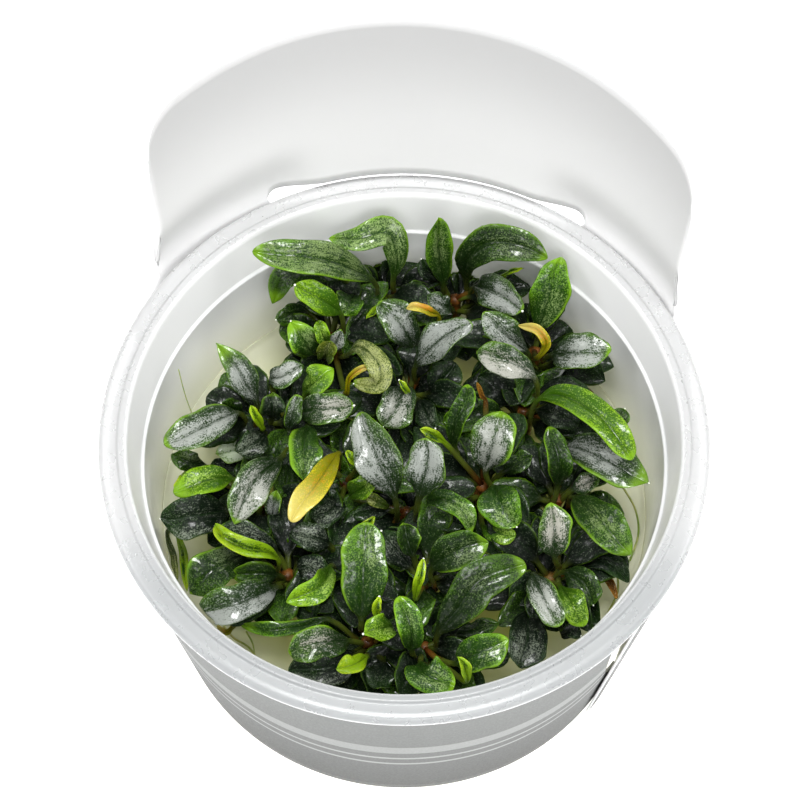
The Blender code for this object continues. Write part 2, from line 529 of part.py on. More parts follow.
def stem_cylinder(top, radius, deeper, scale):
    """A straight cylinder round a stem as a bmesh, for the sockets and for keeping clear."""
    foot, upper = stem_ends(top)
    axis = (upper - foot).normalized()
    foot = foot - axis * deeper
    place = Matrix.Translation((foot + upper) * 0.5 * scale)
    place = place @ Vector((0.0, 0.0, 1.0)).rotation_difference(axis).to_matrix().to_4x4()
    work = bmesh.new()
    bmesh.ops.create_cone(work, cap_ends=True, segments=STEM_SIDES, radius1=radius * scale,
                          radius2=radius * scale, depth=(upper - foot).length * scale, matrix=place)
    return work


def spline(path, place):
    """A point on the smooth curve through path: place 0 is its first point, 1 the second."""
    first = min(int(place), len(path) - 2)
    share = place - first
    before = path[first - 1] if first > 0 else 2.0 * path[0] - path[1]
    after = path[first + 2] if first + 2 < len(path) else 2.0 * path[-1] - path[-2]
    start, end = path[first], path[first + 1]
    straight = start + (end - start) * share
    bend = (start * 2.0 - before - end) * (share * (1.0 - share) ** 2)
    bend += (end * 2.0 - start - after) * (share ** 2 * (1.0 - share))
    return straight + bend * 0.5


def leaf_path(stem_top, leaf, drop, lift):
    """Midrib from the stem to the tip: the stalk's foot, drop below the top, then the leaf."""
    kind, points = leaf[0], leaf[5]
    foot, upper = stem_ends(stem_top)
    axis = (upper - foot).normalized()
    joint = upper - axis * (0.7 + drop)
    base = seen(*points[0], lift)
    outward = Vector((base.x - joint.x, base.y - joint.y, 0.0)).normalized()
    if kind == "own":
        joint = joint + outward * (STEM_RADIUS + CLEARANCE + 0.5 * PETIOLE)
    return [joint] + [seen(*point, lift) for point in points]


def half_width(leaf, place):
    """Half the leaf's width: the stalk up to place 1, then a long blade with a blunt tip."""
    if place <= 1.0:
        return 0.5 * PETIOLE
    blade = math.sin(math.pi * (place - 1.0) ** 0.8) ** 0.65
    return max(0.5 * PETIOLE, 0.5 * leaf[2] * blade)


def on_leaf(path, place):
    """A point of the midrib: place 0 is the stalk's foot, 1 the blade's base and 2 its tip."""
    if place <= 1.0:
        return spline(path, place)
    return spline(path, 1.0 + (place - 1.0) * (len(path) - 2))


def leaf_direction(path, place):
    """The direction in which the midrib runs at a place."""
    ahead = on_leaf(path, min(2.0, place + 0.03))
    behind = on_leaf(path, max(0.0, place - 0.03))
    return (ahead - behind).normalized()


def leaf_frame(path, place, roll):
    """Centre, sideways and upward directions of the blade at a place between 0 and 2."""
    tangent = leaf_direction(path, place)
    blade = leaf_direction(path, max(place, STALK_FACES))
    sideways = blade.cross(FACING)
    sideways = (sideways - tangent * sideways.dot(tangent)).normalized()
    sideways = Matrix.Rotation(math.radians(roll), 3, tangent) @ sideways
    return on_leaf(path, place), sideways, sideways.cross(tangent)


def leaf_solid(stem_top, leaf, drop, lift, guard=0.0):
    """Points and faces of a leaf: sections with sharp edges, thickest along the midrib."""
    kind, _, _, fold, roll, _ = leaf
    stations = OWN_STATIONS if kind == "own" else LOW_STATIONS
    path = leaf_path(stem_top, leaf, drop, lift)
    points = []
    for place in stations:
        centre, sideways, upward = leaf_frame(path, place, roll)
        half = half_width(leaf, place)
        thick = 0.5 * (PETIOLE if place < 1.0 else LEAF_THICKNESS) + guard
        raised = fold * half if place > 1.0 else 0.0
        out = half + guard
        points.append(kept_inside(centre - sideways * out + upward * raised))
        points.append(kept_inside(centre + upward * thick))
        points.append(kept_inside(centre + sideways * out + upward * raised))
        points.append(kept_inside(centre - upward * thick))
    points.append(kept_inside(path[-1]))
    faces = [(3, 2, 1, 0)]
    last = len(stations) - 1
    for ring in range(last):
        for corner in range(4):
            here = 4 * ring + corner
            following = 4 * ring + (corner + 1) % 4
            faces.append((here, following, following + 4, here + 4))
    for corner in range(4):
        faces.append((4 * last + corner, 4 * last + (corner + 1) % 4, 4 * last + 4))
    return points, faces


def grown_drop(order):
    """How far below its top a stem carries the leaf of this order that grows together with it."""
    return JOINT_STEP * (order % JOINT_STEPS)


def free_place(top, leaf, others):
    """The least lift, and the joint for it, that keep a leaf clear of the others."""
    lift = 0.0
    while lift < LIFT_LIMIT:
        for step in range(JOINT_STEPS):
            drop = JOINT_STEP * step
            guarded = BVHTree.FromPolygons(*leaf_solid(top, leaf, drop, lift, 0.5 * CLEARANCE))
            if not any(guarded.overlap(other) for other in others):
                return drop, lift
        lift += LIFT_STEP
    return 0.0, 0.0


def settle():
    """Raise the separate leaves, lowest first, until each is clear of what lies below it.

    Returns each separate leaf's drop and lift, by plantlet and by its place in the list.
    """
    others = []
    waiting = []
    for number, (_, top, leaves) in enumerate(PLANTLETS):
        cylinder = stem_cylinder(top, STEM_RADIUS, 0.0, 1.0)
        others.append(BVHTree.FromBMesh(cylinder))
        cylinder.free()
        for order, leaf in enumerate(leaves):
            if leaf[0] == "low":
                others.append(BVHTree.FromPolygons(*leaf_solid(top, leaf, grown_drop(order), 0.0)))
            else:
                height = sum(point[2] for point in leaf[5]) / len(leaf[5])
                waiting.append((height, number, order))
    places = {}
    for _, number, order in sorted(waiting):
        _, top, leaves = PLANTLETS[number]
        drop, lift = free_place(top, leaves[order], others)
        places[number, order] = drop, lift
        others.append(BVHTree.FromPolygons(*leaf_solid(top, leaves[order], drop, lift)))
    return places


def make_stem(name, top, collection):
    """A creeping stem as a tapered tube, thicker at its joints."""
    foot, upper = stem_ends(top)
    curve = bpy.data.curves.new(name, "CURVE")
    curve.dimensions = "3D"
    curve.bevel_depth = STEM_RADIUS * MM
    curve.bevel_resolution = (STEM_SIDES - 4) // 2
    curve.use_fill_caps = True
    swellings = (0.92, 1.0, 0.88, STEM_TIP_RADIUS / STEM_RADIUS)
    line = curve.splines.new("POLY")
    line.points.add(len(swellings) - 1)
    for i, swelling in enumerate(swellings):
        place = foot.lerp(upper, i / (len(swellings) - 1)) * MM
        line.points[i].co = (*place, 1.0)
        line.points[i].radius = swelling
    tube = bpy.data.objects.new(f"tube_{name}", curve)
    bpy.context.scene.collection.objects.link(tube)
    bpy.context.view_layer.update()
    evaluated = tube.evaluated_get(bpy.context.evaluated_depsgraph_get())
    mesh = bpy.data.meshes.new_from_object(evaluated)
    bpy.data.objects.remove(tube, do_unlink=True)
    work = bmesh.new()
    work.from_mesh(mesh)
    bmesh.ops.remove_doubles(work, verts=work.verts, dist=0.00001)
    bmesh.ops.recalc_face_normals(work, faces=work.faces)
    work.to_mesh(mesh)
    work.free()
    mesh.materials.clear()
    mesh.materials.append(new_material(name, "stem"))
    mesh.shade_smooth()
    stem = bpy.data.objects.new(name, mesh)
    collection.objects.link(stem)
    return stem


def make_plantlet(number, plantlet, places, collection, guides):
    """One plantlet: its stem with the low leaves grown on, and its own leaves beside it."""
    name, top, leaves = plantlet
    stem = make_stem(f"{name}_stem", top, collection)
    own_count = 0
    for order, leaf in enumerate(leaves):
        drop, lift = places.get((number, order), (grown_drop(order), 0.0))
        points, faces = leaf_solid(top, leaf, drop, lift)
        if leaf[0] == "own":
            own_count += 1
            new_piece(f"{name}_leaf_{own_count}", points, [], faces, leaf[1], collection)
            continue
        guide = new_piece(f"grown_{name}_{order + 1}", points, [], faces, leaf[1], guides)
        make_guide(guide)
        join = stem.modifiers.new(guide.name, "BOOLEAN")
        join.operation = "UNION"
        join.object = guide


def main():
    """Build the cup, the sleeve, the gel and the plantlets."""
    clear_scene()
    pieces = new_collection("bucephalandra_cup")
    guides = new_collection("guides")
    make_cup(pieces)
    make_sleeve(pieces)
    make_gel(pieces, guides)
    places = settle()
    for number, plantlet in enumerate(PLANTLETS):
        make_plantlet(number, plantlet, places, pieces, guides)


main()
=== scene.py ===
"""Looks for the bucephalandra cup: plastic, card, gel, roots, stems and leaves.

Sizes and places are in millimetres, as in the part's own source, and become metres when a mesh is
made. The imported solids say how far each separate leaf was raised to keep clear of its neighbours.
"""
import math
import random

import bmesh
import bpy
from mathutils import Matrix, Vector, noise


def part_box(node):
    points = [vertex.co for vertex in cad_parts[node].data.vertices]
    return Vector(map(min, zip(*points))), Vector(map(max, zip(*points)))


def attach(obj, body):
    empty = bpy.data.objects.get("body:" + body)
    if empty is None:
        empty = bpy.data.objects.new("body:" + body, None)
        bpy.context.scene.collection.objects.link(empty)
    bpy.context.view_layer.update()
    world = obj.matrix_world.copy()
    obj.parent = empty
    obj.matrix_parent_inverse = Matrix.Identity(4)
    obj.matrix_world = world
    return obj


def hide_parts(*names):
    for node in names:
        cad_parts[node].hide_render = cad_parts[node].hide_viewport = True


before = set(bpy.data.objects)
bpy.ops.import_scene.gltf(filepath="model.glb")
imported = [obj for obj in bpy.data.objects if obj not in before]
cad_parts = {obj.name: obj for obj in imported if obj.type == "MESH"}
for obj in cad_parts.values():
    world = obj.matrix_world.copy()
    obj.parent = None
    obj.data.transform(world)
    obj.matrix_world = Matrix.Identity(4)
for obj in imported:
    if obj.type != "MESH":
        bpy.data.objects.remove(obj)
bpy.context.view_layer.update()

MM = 0.001

# Camera, fitted to the rim's outline: it looks down steeply from in front of the cup
EYE = Vector((-0.7, -222.9, 504.6))
CAMERA_TILT = 27.1
LENS = 138.06
SENSOR = 36.0

# Cup
CUP_HEIGHT = 57.0
RIM_RADIUS = 50.0
MOUTH_RADIUS = 45.2
BASE_RADIUS = 40.0
WALL = 0.8
FLOOR = 1.5
LEDGE_HEIGHT = 48.2
LEDGE_INNER_RADIUS = 43.0
LEDGE_OUTER_RADIUS = 43.7
TURNED_SEGMENTS = 160

# Nutrient gel
GEL_TOP = 28.5
GEL_GAP = 0.35
GEL_MENISCUS = 0.9
SOCKET_DEPTH = 4.0

# Card sleeve
CARD = 0.5
CONE_RADIUS_AT_BASE = 40.88
CONE_FLARE = 0.146
SLEEVE_BOTTOM = 3.0
BAND_TOP = 53.4
SLOT_TOP = 57.9
PANEL_AXIS = 85.1
PANEL_HALF = 57.0
PANEL_TAPER = 0.045
PANEL_TOP = 96.2
PANEL_TOP_DROP = 3.2
PANEL_HIGH_SIDE = 15.0
PANEL_CORNER = 7.0
SLOT_HALF = 32.0
FILLET_END = 66.0
SEAM = -40.5
SEAM_OVERLAP = 5.0
SEAM_LIFT = 0.9
NOTCH_START = 314.0
NOTCH_DEPTH = 32.0
BULGE = 2.2
BULGE_LEFT_EXTRA = 1.5
BULGE_REACH = 13.0
SLEEVE_ROWS = (22, 20)
WELD = 0.000002

# The grey print at the band's bottom and top, darker at the bottom with painted shade, and plain
# stripes on it: lower and upper height, and how strongly they are printed
PRINT_LOW_PAINTED_SHADE = (0.020, 0.023, 0.021)
PRINT_HIGH = (0.068, 0.075, 0.069)
STRIPE = (0.450, 0.465, 0.450)
STRIPES = ((30.0, 34.4, 0.35), (25.8, 26.8, 0.50), (21.8, 22.8, 0.50))
STRIPE_BLUR = 0.15
# The bare card, painted darker towards the panel's top as shade against the lamps' light there, and the
# card's cut edge
PANEL_LOW = (0.800, 0.800, 0.800)
PANEL_HIGH_PAINTED_SHADE = (0.455, 0.455, 0.455)
CUT_EDGE = (0.860, 0.860, 0.860)

# Plants
SIGHT_LEVEL = 42.0
FACING = Vector((0.0, -0.3, 0.954))
STALK_FACES = 1.25
STEM_RADIUS = 1.35
STEM_STEPS = 28
STEM_LEAN = 0.94
JOINT_DEPTH = 0.7
PETIOLE = 1.0
JOINT_STEP = 0.9
JOINT_STEPS = 8
WALL_CLEARANCE = 0.6
LEAF_THICKNESS = 0.34
BEAD_SHARE = 0.24
BEAD_SIZE = (0.13, 0.24)
# The silver marks, with their painted sheen, that run along the middle of every blade
SILVER_AND_SHEEN_AROUND = 0.13
BROADEST = 0.54
EXTRA_FOLD = 0.13
STALK_ROWS = 5
BLADE_ROWS = 26
ACROSS_PLAIN = (-1.0, -0.85, -0.45, 0.0, 0.45, 0.85, 1.0)
BLADE_ROWS_PLAIN = 13
ACROSS = (-1.0, -0.94, -0.8, -0.6, -0.4, -0.22, -0.09, 0.0, 0.09, 0.22, 0.4, 0.6, 0.8, 0.94, 1.0)
CLEARANCE = 0.45
LIFT_STEP = 0.4
LIFT_STEPS = 20

# Sections and thickness of the plain leaf solids in the frame
OWN_STATIONS = (0.0, 0.5, 1.0, 1.14, 1.36, 1.6, 1.88)
SOLID_THICKNESS = 0.7

# One row per plantlet: name, top of its stem, and its leaves. A leaf is separate ("own") or part of the
# stem's piece ("low"); then come its look, width, fold that raises the edges, roll about the midrib,
# and points from the base to the tip. Points are where the line of sight crosses the level
# SIGHT_LEVEL, with the point's own height.
PLANTLETS = [
    ("back_left", (-4.0, 34.6, 40.0), [
        ("own", "mid", 6.2, 0.15, 0, [(-5.2, 36.8, 44), (-14.5, 41.2, 55), (-26.4, 42.4, 57)]),
        ("own", "mid", 5.2, 0.10, 0,
         [(-1.9, 37.0, 44), (-1.2, 41.8, 50), (-2.8, 46.5, 54), (-8.0, 45.4, 54.5), (-13.1, 45.0, 52)]),
        ("low", "deep", 4.8, 0.10, 0,
         [(-10.0, 37.0, 44), (-15.0, 38.9, 49), (-20.6, 37.8, 49.5), (-22.5, 32.5, 45)]),
        ("low", "mid", 5.0, 0.35, 0, [(-8.3, 34.0, 43), (-9.5, 32.2, 46.5), (-10.2, 30.0, 46)]),
    ]),
    ("upper_left", (-12.5, 26.5, 39.0), [
        ("own", "bright", 4.8, 0.10, 0, [(-10.8, 30.2, 44), (-14.2, 33.2, 50), (-18.9, 36.0, 53)]),
        ("own", "olive", 3.8, 0.20, 0,
         [(-9.8, 22.3, 45), (-7.6, 24.0, 51), (-4.4, 20.8, 54), (-4.4, 16.8, 52), (-8.6, 16.6, 49)]),
        ("low", "deep", 3.6, 0.10, 0, [(-16.5, 30.8, 40), (-22.0, 29.3, 43)]),
        ("low", "mid", 5.0, 0.20, 0, [(-15.3, 22.8, 42), (-17.2, 25.2, 47), (-19.2, 29.2, 50)]),
        ("low", "silver", 3.0, 0.15, 0, [(-12.2, 23.0, 42), (-11.6, 25.0, 45), (-10.6, 27.3, 47)]),
    ]),
    ("left_outer", (-24.2, 9.8, 39.5), [
        ("own", "silver", 4.8, 0.15, 0,
         [(-24.9, 13.0, 46), (-26.7, 16.5, 51), (-28.6, 20.2, 54), (-32.3, 24.7, 56)]),
        ("own", "silver", 6.4, 0.12, 0, [(-28.0, 11.3, 46), (-33.6, 8.8, 50.5), (-40.1, 4.9, 51)]),
        ("low", "deep", 3.6, 0.10, 0, [(-27.2, 11.0, 40), (-31.0, 13.2, 43)]),
        ("low", "pale", 4.2, 0.10, 0, [(-25.0, 5.6, 38), (-28.4, 4.4, 41), (-31.6, 3.4, 42)]),
        ("low", "dark", 4.6, 0.10, 0, [(-23.4, 7.4, 42), (-25.0, 5.8, 45.5), (-28.0, 3.7, 46)]),
        ("low", "dark", 4.2, 0.15, 0, [(-22.4, 10.2, 43), (-22.4, 12.4, 49), (-22.2, 15.3, 51)]),
    ]),
    ("left_inner", (-18.6, 8.3, 39.5), [
        ("own", "silver", 5.6, 0.10, 0, [(-17.6, 11.0, 44), (-14.0, 12.1, 49), (-8.5, 12.2, 50.5)]),
        ("own", "mid", 5.6, 0.15, 0, [(-16.3, 9.0, 44), (-16.8, 4.5, 50), (-16.4, -1.6, 50)]),
        ("own", "silver", 6.2, 0.12, 0, [(-20.6, 3.0, 44), (-25.2, -1.6, 50), (-28.3, -9.4, 48)]),
        ("low", "silver", 3.0, 0.15, 0, [(-19.0, 9.8, 43), (-18.8, 11.6, 46), (-18.5, 14.6, 49)]),
        ("low", "silver", 4.2, 0.15, 0, [(-22.6, 16.6, 43), (-20.6, 18.3, 47), (-17.2, 20.6, 48)]),
        ("low", "bright", 4.8, 0.20, 0, [(-17.0, 14.4, 43), (-14.8, 17.5, 48), (-12.3, 20.2, 49)]),
        ("low", "deep", 4.2, 0.10, 0, [(-19.0, 2.4, 41), (-19.6, -1.0, 43), (-20.0, -4.5, 43)]),
    ]),
    ("left_low", (-24.0, -5.0, 39.5), [
        ("low", "dark", 7.2, 0.10, 0, [(-28.8, -6.6, 42), (-34.5, -7.8, 46), (-40.4, -8.9, 45)]),
        ("low", "bright", 5.0, 0.20, 0, [(-28.4, -1.2, 43), (-33.0, -1.3, 46.5), (-38.4, -3.9, 46)]),
        ("low", "deep", 3.6, 0.15, 0, [(-32.6, 0.8, 41), (-36.0, 2.2, 44), (-39.0, 3.6, 46)]),
        ("low", "dark", 3.6, 0.10, 0, [(-27.6, 0.6, 38), (-33.0, 0.6, 38.5)]),
        ("low", "silver", 2.8, 0.25, 0, [(-22.0, -7.6, 42), (-21.8, -6.0, 45), (-21.0, -3.2, 47)]),
    ]),
    ("front_left", (-19.2, -18.2, 39.5), [
        ("own", "lime", 3.0, 0.60, 0,
         [(-20.6, -16.3, 44), (-22.6, -14.4, 48), (-26.3, -13.7, 50), (-30.0, -11.6, 51),
          (-31.2, -9.4, 50)]),
        ("own", "silver", 6.3, 0.10, 0, [(-21.0, -20.7, 44), (-26.8, -23.3, 49), (-34.2, -25.2, 47)]),
        ("low", "dark", 4.8, 0.10, 0, [(-20.8, -15.0, 42), (-25.0, -12.2, 46.5), (-30.8, -9.6, 46.5)]),
        ("low", "deep", 7.0, 0.10, 0, [(-25.5, -15.0, 41), (-31.2, -17.5, 45.5), (-34.8, -22.3, 43)]),
        ("low", "deep", 4.2, 0.35, 0, [(-20.8, -18.6, 42), (-24.0, -18.3, 45), (-28.4, -18.4, 44)]),
        ("low", "dark", 4.8, 0.10, 0, [(-17.6, -17.6, 41), (-15.6, -17.2, 43), (-12.8, -19.6, 42.5)]),
    ]),
    ("low_left", (-11.0, -14.8, 39.0), [
        ("own", "bright", 4.2, 0.30, 0, [(-12.2, -17.0, 44), (-13.9, -20.6, 50), (-19.4, -23.3, 50.5)]),
        ("low", "dark", 4.8, 0.10, 0, [(-12.3, -13.2, 43), (-15.0, -11.8, 45.5), (-19.0, -10.9, 46)]),
    ]),
    ("inner_left", (-9.8, -1.2, 39.5), [
        ("own", "yellow", 4.4, 0.12, 0, [(-11.0, 3.8, 46), (-14.6, -1.9, 51), (-19.2, -8.6, 51)]),
        ("low", "dark", 4.6, 0.10, 0, [(-10.6, -4.6, 42), (-12.5, -7.0, 44.5), (-15.6, -8.2, 44.5)]),
        ("low", "mid", 3.6, 0.35, 0, [(-8.6, -3.2, 43), (-6.9, -2.6, 46.5), (-5.3, -0.8, 48.5)]),
        ("low", "silver", 3.2, 0.10, 0, [(-11.0, -3.0, 42), (-12.6, -2.6, 45)]),
    ]),
    ("centre", (0.5, -6.8, 40.0), [
        ("own", "silver", 7.2, 0.12, 0, [(-1.5, -4.8, 44), (-4.3, 2.6, 51), (-8.0, 11.2, 53)]),
        ("own", "silver", 6.8, 0.12, 0, [(2.4, -4.6, 44), (3.7, 0.6, 50), (4.2, 6.6, 54)]),
        ("low", "mid", 3.8, 0.15, 0,
         [(2.8, -5.6, 44), (6.5, -4.8, 49), (9.6, -6.8, 50), (11.2, -10.8, 48)]),
        ("low", "dark", 4.0, 0.10, 0, [(3.0, -7.8, 42), (6.5, -8.5, 44), (10.0, -9.3, 44)]),
        ("low", "dark", 3.0, 0.10, 0, [(-2.5, -6.8, 42), (-8.5, -7.6, 44)]),
    ]),
    ("centre_back", (0.8, 15.2, 39.5), [
        ("own", "silver", 5.8, 0.10, 0, [(1.9, 20.2, 45), (6.0, 25.2, 51), (11.5, 29.1, 54)]),
        ("own", "silver", 6.2, 0.12, 0, [(1.6, 23.4, 43), (-0.6, 28.4, 49), (-4.2, 33.1, 51)]),
        ("low", "silver", 6.4, 0.12, 0, [(0.4, 16.6, 44), (-1.2, 12.6, 48), (-3.4, 8.6, 47)]),
        ("low", "dark", 4.0, 0.10, 0, [(2.4, 13.8, 43), (5.0, 8.2, 46.5)]),
        ("low", "dark", 5.5, 0.10, 0, [(4.2, 14.9, 42), (6.5, 17.5, 45), (9.0, 20.8, 46)]),
    ]),
    ("back_right", (8.8, 33.8, 39.5), [
        ("own", "mid", 4.8, 0.15, 0, [(6.8, 36.0, 42), (6.1, 42.5, 50), (5.9, 49.6, 57.5)]),
        ("own", "deep", 6.2, 0.15, 0,
         [(10.8, 36.2, 43), (10.9, 41.0, 51), (14.6, 44.4, 56.5), (20.0, 44.0, 58), (24.9, 41.3, 56.5)]),
        ("own", "silver", 5.8, 0.12, 0, [(12.0, 35.6, 44), (15.6, 34.8, 50), (20.4, 31.1, 51.5)]),
        ("low", "dark", 3.0, 0.10, 0, [(6.4, 36.6, 41), (4.0, 38.8, 44), (3.2, 41.4, 46)]),
        ("low", "silver", 3.8, 0.15, 0, [(8.0, 31.6, 44), (6.4, 32.2, 46.5), (3.9, 33.7, 47.5)]),
        ("low", "dark", 3.4, 0.10, 0, [(5.0, 34.4, 40.5), (0.0, 35.3, 42)]),
    ]),
    ("right_high", (22.4, 23.6, 39.5), [
        ("own", "silver", 5.3, 0.10, 0, [(21.0, 22.9, 45), (17.5, 26.2, 51), (13.8, 31.0, 53)]),
        ("own", "mid", 6.6, 0.12, 0, [(23.0, 27.2, 44), (25.0, 34.0, 51), (26.6, 41.8, 56.5)]),
        ("own", "silver", 6.6, 0.12, 0, [(25.0, 22.4, 44), (29.3, 22.9, 49.5), (35.4, 22.9, 51)]),
    ]),
    ("right", (20.3, 12.2, 39.0), [
        ("own", "silver", 5.4, 0.10, 0, [(22.3, 17.8, 48), (17.6, 21.3, 51.5), (12.4, 23.2, 50.5)]),
        ("own", "bright", 5.2, 0.20, 0,
         [(22.3, 13.4, 45), (26.6, 14.6, 50.5), (32.4, 11.2, 54), (35.9, 6.6, 54), (37.9, 2.3, 52)]),
        ("low", "dark", 4.6, 0.10, 0, [(22.5, 15.0, 42), (27.5, 15.8, 45.5), (31.8, 13.9, 46)]),
        ("low", "dark", 4.6, 0.10, 0, [(22.4, 11.8, 42), (25.5, 11.2, 45.5), (29.5, 9.2, 45)]),
    ]),
    ("right_low", (25.7, -4.5, 39.0), [
        ("own", "silver", 7.4, 0.12, 0, [(27.0, 4.6, 44), (33.0, 3.0, 49.5), (40.6, -2.2, 49)]),
        ("own", "mid", 6.6, 0.12, 0, [(28.2, -4.4, 43.5), (32.6, -8.7, 49), (37.2, -15.1, 48)]),
        ("own", "deep", 4.3, 0.25, 0, [(25.6, -2.6, 44), (25.9, 2.4, 51), (24.1, 8.7, 54)]),
        ("low", "silver", 3.6, 0.10, 0, [(28.0, -3.2, 42), (32.5, -0.8, 44)]),
    ]),
    ("centre_right", (13.2, -2.0, 39.0), [
        ("own", "silver", 7.4, 0.12, 0, [(13.6, 0.4, 44), (14.9, 5.6, 51), (16.2, 11.8, 53.5)]),
        ("own", "mid", 6.8, 0.12, 0, [(14.8, -2.4, 45), (15.9, -5.4, 49.5), (18.4, -10.0, 48)]),
        ("low", "deep", 3.4, 0.45, 0,
         [(8.8, 4.0, 43), (8.6, 9.0, 49), (10.3, 13.0, 52), (11.0, 16.8, 52)]),
        ("low", "deep", 3.6, 0.15, 0, [(16.5, 0.2, 42), (21.4, 3.4, 45.5)]),
        ("low", "bright", 3.4, 0.10, 0, [(13.0, -9.6, 42), (15.6, -11.0, 45.5), (18.4, -11.8, 46)]),
    ]),
    ("front_middle", (3.2, -19.6, 39.0), [
        ("own", "deep", 6.4, 0.15, 0, [(4.4, -17.6, 45), (8.6, -14.2, 50.5), (13.8, -12.1, 52)]),
        ("low", "dark", 4.6, 0.12, 0, [(1.3, -17.6, 41), (-1.4, -14.0, 43.5), (-4.0, -10.8, 44)]),
        ("low", "dark", 3.4, 0.10, 0, [(4.4, -15.0, 41), (2.8, -11.0, 43.5)]),
        ("low", "deep", 4.0, 0.60, 0, [(1.6, -15.5, 44), (0.4, -12.0, 47), (0.0, -9.0, 48.5)]),
    ]),
    ("front_right", (24.2, -18.8, 39.0), [
        ("own", "silver", 4.9, 0.10, 0, [(21.2, -18.4, 46), (22.8, -22.4, 51), (25.2, -27.8, 50)]),
        ("own", "silver", 5.7, 0.15, 0, [(24.8, -15.4, 46), (24.9, -11.0, 51), (24.7, -5.3, 53.5)]),
        ("low", "bright", 4.5, 0.15, 0, [(25.6, -20.6, 43), (27.3, -23.4, 47.5), (29.1, -27.8, 46)]),
        ("low", "deep", 5.0, 0.10, 0, [(26.2, -18.0, 42), (29.5, -20.0, 44.5), (31.2, -23.8, 43.5)]),
        ("low", "dark", 3.7, 0.20, 0, [(28.4, -16.8, 39), (33.2, -16.1, 42), (37.0, -19.8, 40.5)]),
        ("low", "dark", 6.8, 0.10, 0, [(20.6, -24.4, 40), (20.0, -30.0, 44), (18.6, -35.0, 44)]),
    ]),
    ("front", (3.2, -31.2, 39.0), [
        ("own", "deep", 6.8, 0.12, 0,
         [(5.4, -29.2, 44), (8.8, -24.6, 48.5), (12.6, -19.4, 52.5), (20.0, -16.3, 53)]),
        ("own", "mid", 4.4, 0.25, 0, [(1.2, -32.0, 43), (1.0, -28.0, 49.5), (-0.9, -22.3, 52)]),
        ("own", "mid", 6.0, 0.12, 0, [(8.2, -34.2, 44), (12.0, -32.4, 49.5), (17.0, -29.9, 50.5)]),
        ("low", "mid", 6.2, 0.12, 0, [(2.6, -34.0, 43), (3.6, -36.2, 47), (8.2, -38.0, 46.5)]),
        ("low", "deep", 3.2, 0.10, 0, [(8.0, -29.6, 41), (11.6, -28.4, 43), (15.4, -26.9, 44)]),
    ]),
    ("front_centre", (-6.0, -30.2, 39.0), [
        ("own", "mid", 7.8, 0.12, 0, [(-7.0, -26.6, 43.5), (-6.7, -18.0, 50.5), (-6.3, -8.9, 53.5)]),
        ("own", "lime", 3.2, 0.30, 0, [(-6.2, -33.0, 46.5), (-8.2, -34.4, 50), (-11.1, -35.1, 50)]),
        ("low", "silver", 5.6, 0.12, 0, [(-8.8, -30.3, 43), (-13.6, -30.6, 48), (-18.9, -31.9, 47)]),
        ("low", "bright", 4.4, 0.25, 0, [(-2.2, -28.0, 45), (-3.8, -28.0, 49.5), (-6.8, -28.7, 51)]),
        ("low", "dark", 6.5, 0.10, 0, [(-8.2, -33.0, 42), (-12.5, -35.0, 46), (-18.8, -35.3, 45)]),
        ("low", "dark", 5.0, 0.10, 0, [(-3.4, -34.0, 40), (-4.6, -38.4, 43.5)]),
        ("low", "mid", 2.6, 0.35, 0,
         [(-12.0, -26.6, 42), (-16.6, -27.7, 43.5), (-22.0, -28.4, 44), (-27.1, -27.3, 42.5)]),
    ]),
]
